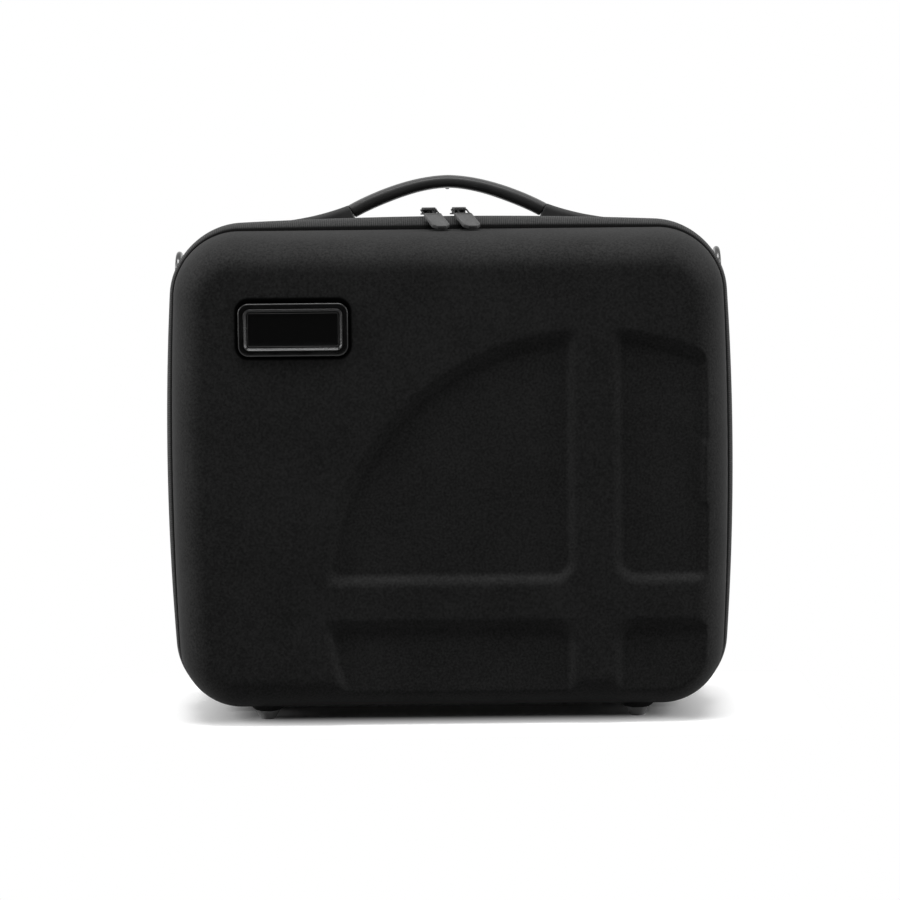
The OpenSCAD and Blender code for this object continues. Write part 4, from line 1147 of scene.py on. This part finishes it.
def make_slider(name, side, node):
    """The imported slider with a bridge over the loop's bar and a low wall behind it. Both stand
    clear of the loop's arms, which swing past the bridge's ends and over the wall."""
    bm = bmesh.new()
    bm.from_mesh(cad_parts[node].data)
    bmesh.ops.scale(bm, vec=(1 / MM, 1 / MM, 1 / MM), verts=bm.verts)
    bmesh.ops.remove_doubles(bm, verts=bm.verts, dist=0.001)
    place, edge = loop_bar(side), 0.25
    for section, (x0, x1) in ((BRIDGE, BRIDGE_ENDS[side]), (WALL, WALL_ENDS[side])):
        middle = sum(y for y, _ in section) / len(section)
        rings = []
        for x, inset in ((x0, edge), (x0 + edge, 0.0), (x1 - edge, 0.0), (x1, edge)):
            pts = [
                (x, y + math.copysign(inset, middle - y), z - inset if z > 0.5 else z)
                for y, z in section
            ]
            rings.append([bm.verts.new(place @ Vector(p)) for p in pts])
        n = len(section)
        for a, b in zip(rings, rings[1:]):
            for i in range(n):
                bm.faces.new((a[i], a[(i + 1) % n], b[(i + 1) % n], b[i]))
        bm.faces.new(rings[0][::-1])
        bm.faces.new(rings[-1])
    finish_mesh(name, bm, SLIDER, node, node, sharp=35)


def make_pull(name, side, node):
    """A soft pull with cut corners at its free end, and a raised border on its face."""
    r = Rings()
    w, low, c, t = PULL_W / 2, -PULL_LEN, PULL_CHAMFER, PULL_T / 2
    outline = [
        (c - w, low), (w - c, low), (w, low + c),
        (w, -PULL_START), (-w, -PULL_START), (-w, low + c),
    ]
    radii = [1.4, 1.4, 1.4, 1.1, 1.1, 1.4]
    rings = [(rounded_poly(outline, radii, i), h) for i, h in (
        (0.55, -t), (0.16, -t + 0.14), (0, -t + 0.5), (0, t - 0.5), (0.14, t - 0.16), (0.4, t),
        (0.9, t), (1.05, t - 0.08), (1.25, t - 0.48), (1.5, t - 0.55),
    )]
    move = loop_bar(side) @ Matrix.Rotation(PULL_DROP, 4, "X")
    move = move @ Matrix.Translation((side * PULL_SHIFT, 0, 0))
    r.stack(rings, lambda x, y, h: tuple(move @ Vector((x, y, h))))
    finish_mesh(name, r.bm, PULL, node, node, sharp=60)


make_slider("slider_left_cast", -1, "slider_left")
make_slider("slider_right_cast", 1, "slider_right")
make_pull("pull_left_moulded", -1, "pull_left")
make_pull("pull_right_moulded", 1, "pull_right")


# ---- Strap ring tabs ------------------------------------------------------------------------
def make_tab(name, sign, node):
    """Webbing that runs up the side, round the ring's bar and back down over itself."""
    r = Rings()
    cx, cz, h = SEAT_X + TAB_T, TAB_TOP, TAB_T / 2
    rad = TAB_BEND + h
    inner, outer = SEAT_X + h + 0.03, SEAT_X + TAB_T * 1.5 + 0.06
    low, bend, neck = TAB_TOP - TAB_LEN, cz - 5.5, cz - 0.3
    quarters = (0.25, 0.5, 0.75, 1.0)
    line = [(inner, lerp(low, bend, i / 16)) for i in range(17)]
    line += [(lerp(inner, cx - rad, smooth(f)), lerp(bend, neck, f)) for f in quarters]
    for a in (math.pi * i / 12 for i in range(13)):
        line.append((cx - rad * math.cos(a), cz + rad * math.sin(a)))
    line += [(lerp(cx + rad, outer, smooth(f)), lerp(neck, bend, f)) for f in (0.0, *quarters)]
    line += [(outer, lerp(bend, low + 0.4, i / 16)) for i in range(1, 17)]
    clean = line[:1]
    for p in line[1:]:
        if math.dist(p, clean[-1]) > 0.15:
            clean.append(p)
    dist = along(clean, closed=False)
    steps = 18
    edge = [
        (lerp(-TAB_W / 2, TAB_W / 2, i / steps), h * (0.55 if i in (0, steps) else 1.0))
        for i in range(steps + 1)
    ]
    loop = edge + [(y, -e) for y, e in reversed(edge)]
    stations = []
    for k, (x, z) in enumerate(clean):
        a, b = clean[max(k - 1, 0)], clean[min(k + 1, len(clean) - 1)]
        d = math.dist(a, b)
        nx, nz = -(b[1] - a[1]) / d, (b[0] - a[0]) / d
        stations.append(([(sign * (x + nx * e), RING_Y + y, z + nz * e) for y, e in loop], dist[k]))
    r.sweep(stations, [y for y, _ in loop] + [loop[0][0]], caps=(False, False))
    ob = finish_mesh(name, r.bm, WEBBING, "case", node, sharp=70)


make_tab("ring_tab_left_webbing", -1, "ring_tab_left")
make_tab("ring_tab_right_webbing", 1, "ring_tab_right")

# ---- Foam -----------------------------------------------------------------------------------
LID_FOAM_FACE = LID_FRONT + FACE_T + LINING_T + 44
CRATE_PITCH, CRATE_DEPTH = 34, 7


def egg_crate(x, y, z):
    """Presses waves into the lid foam's free face."""
    near = smooth((y - LID_FOAM_FACE + 4) / 3.5)
    edge = smooth((150 - abs(x)) / 10)
    edge *= smooth((RIM_TOP - 20 - z) / 10) * smooth((z - RIM_BOTTOM - 20) / 10)
    k = 2 * math.pi / CRATE_PITCH
    wave = math.sin(k * x) * math.sin(k * (z - RIM_MID))
    return (x, y - near * edge * CRATE_DEPTH * (1 - wave), z)


def make_foam_piece(name, node, body, voxel, shape):
    """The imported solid's mesh with its edges softened, and shaped further by a function."""
    ob = linked(name + "_solid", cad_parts[node].data.copy())
    mod = ob.modifiers.new("voxels", "REMESH")
    mod.mode, mod.voxel_size, mod.use_smooth_shade = "VOXEL", voxel * MM, True
    mod = ob.modifiers.new("soft", "SMOOTH")
    mod.factor, mod.iterations = 0.5, 5
    graph = bpy.context.evaluated_depsgraph_get()
    done = bpy.data.meshes.new_from_object(ob.evaluated_get(graph))
    bpy.data.objects.remove(ob)
    done.name = name
    if shape:
        for v in done.vertices:
            v.co = Vector(shape(*(c / MM for c in v.co))) * MM
    done.materials.clear()
    ob = dressed(name, done, FOAM, body, node)


make_foam_piece("lid_foam_crate", "lid_foam", "lid", 2.2, egg_crate)
make_foam_piece("foam_insert_cut", "foam_insert", "case", 1.9, None)
make_foam_piece("foam_base_pad_cut", "foam_base_pad", "case", 2.6, None)

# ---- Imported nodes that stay, with their own materials ---------------------------------------
for material, nodes in (
    (LOOP, "pull_loop_left pull_loop_right"),
    (RING, "d_ring_left d_ring_right"),
    (RIVET, "ring_rivets"),
    (STEEL, "handle_core handle_plate_left handle_plate_right handle_screws ring_plate_left"),
    (STEEL, "ring_plate_right badge_push_nuts body_foot_screws body_foot_nuts"),
    (STEEL, "lid_foot_screws lid_foot_nuts"),
):
    for node in nodes.split():
        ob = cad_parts[node]
        for slot in ob.material_slots:
            slot.material = material
        if not ob.material_slots:
            ob.data.materials.append(material)

# ---- Camera, light and floor, in metres -----------------------------------------------------
TARGET = Vector((0, 0, 0.160))
DISTANCE, ELEVATION, ROLL = 1.7, math.radians(5.5), math.radians(-0.6)
forward = Vector((0, math.cos(ELEVATION), -math.sin(ELEVATION)))
camera = linked("camera", bpy.data.cameras.new("camera"))
camera.data.lens, camera.data.sensor_width = 109.55, 36
camera.location = TARGET - DISTANCE * forward
camera.rotation_mode = "QUATERNION"
camera.rotation_quaternion = forward.to_track_quat("-Z", "Y") @ Quaternion((0, 0, 1), ROLL)
bpy.context.scene.camera = camera

# The sky is white where it is seen. It lights the object from above and from the sides
MIX_A, MIX_B, MIX_OUT = 6, 7, 2
world = bpy.data.worlds.new("world")
world.use_nodes = True
bpy.context.scene.world = world
sky = Nodes(world.node_tree)
background = sky.t.nodes["Background"].inputs
background["Strength"].default_value = 1.0
toward = sky.split(sky.node("TexCoord").outputs["Generated"])
glow = sky.times(
    sky.remap(toward[1], -0.8, 0.1, 0.18, 0.5, "SMOOTHSTEP"),
    sky.remap(toward[2], -0.4, 0.1, 0.8, 1.0, "SMOOTHSTEP"),
)
mix = sky.node("Mix", data_type="RGBA")
sky.link(sky.shown_rays(), mix.inputs[0])
sky.link(glow, mix.inputs[MIX_A])
mix.inputs[MIX_B].default_value = (1, 1, 1, 1)
sky.link(mix.outputs[MIX_OUT], background["Color"])


def plain_stage(name, corners, value):
    m = Mat(name, 0.9, grey(value), ior=1.5, specular=0.0)
    me = bpy.data.meshes.new(name)
    me.from_pydata(corners, [], [(0, 1, 2, 3)])
    me.materials.append(m.m)
    ob = linked(name, me)
    return m, ob


# A pale floor, which brightens to white away from the case and keeps its shadow. It ends near
# the case, so that the lid shows where it has swung down past the floor
FLOOR = [(-0.23, -0.1, 0), (0.23, -0.1, 0), (0.23, 0.1, 0), (-0.23, 0.1, 0)]
FLOOR_DARK, FLOOR_PALE = 0.25, 0.9
SHADE_X, SHADE_Y = 0.135, 0.045
floor, _ = plain_stage("floor", FLOOR, FLOOR_PALE)
seen = floor.shown_rays()
floor.colour(floor.remap(seen, 0, 1, FLOOR_DARK, FLOOR_PALE, "SMOOTHSTEP"))
spot = floor.split(floor.object)
away = [
    floor.math("ABSOLUTE", floor.times(spot[axis], 1 / reach))
    for axis, reach in ((0, SHADE_X), (1, SHADE_Y))
]
glow = floor.remap(floor.math("SMOOTH_MAX", *away, 0.3), 0.8, 1.5, 0.0, 0.5, "SMOOTHSTEP")
floor.p["Emission Color"].default_value = (1, 1, 1, 1)
floor.link(floor.times(glow, seen), floor.p["Emission Strength"])

# A dark flag in front of the case, which the badge's glossy plaque reflects. It is out of every
# picture, as the lamps are
FLAG = [(-1.7, -2.0, -0.5), (1.3, -2.0, -0.5), (1.3, -2.0, 1.3), (-1.7, -2.0, 1.3)]
_, flag = plain_stage("dark_flag", FLAG, 0.015)
flag.visible_camera = False

LAMP_AIM = Vector((0, 0, 0.2))
for name, place, size, power in (
    ("overhead", (0, -0.38, 2.25), (1.8, 0.7), 33),
    ("left", (-2.1, -0.12, 0.9), (0.7, 1.4), 26),
    ("right", (2.1, -0.12, 0.9), (0.7, 1.4), 18),
):
    data = bpy.data.lights.new(name, "AREA")
    data.shape, data.energy = "RECTANGLE", power
    data.size, data.size_y = size
    ob = linked(name, data)
    ob.location = place
    ob.rotation_euler = (LAMP_AIM - Vector(place)).to_track_quat("-Z", "Y").to_euler()

bpy.context.scene.view_settings.view_transform = "Standard"
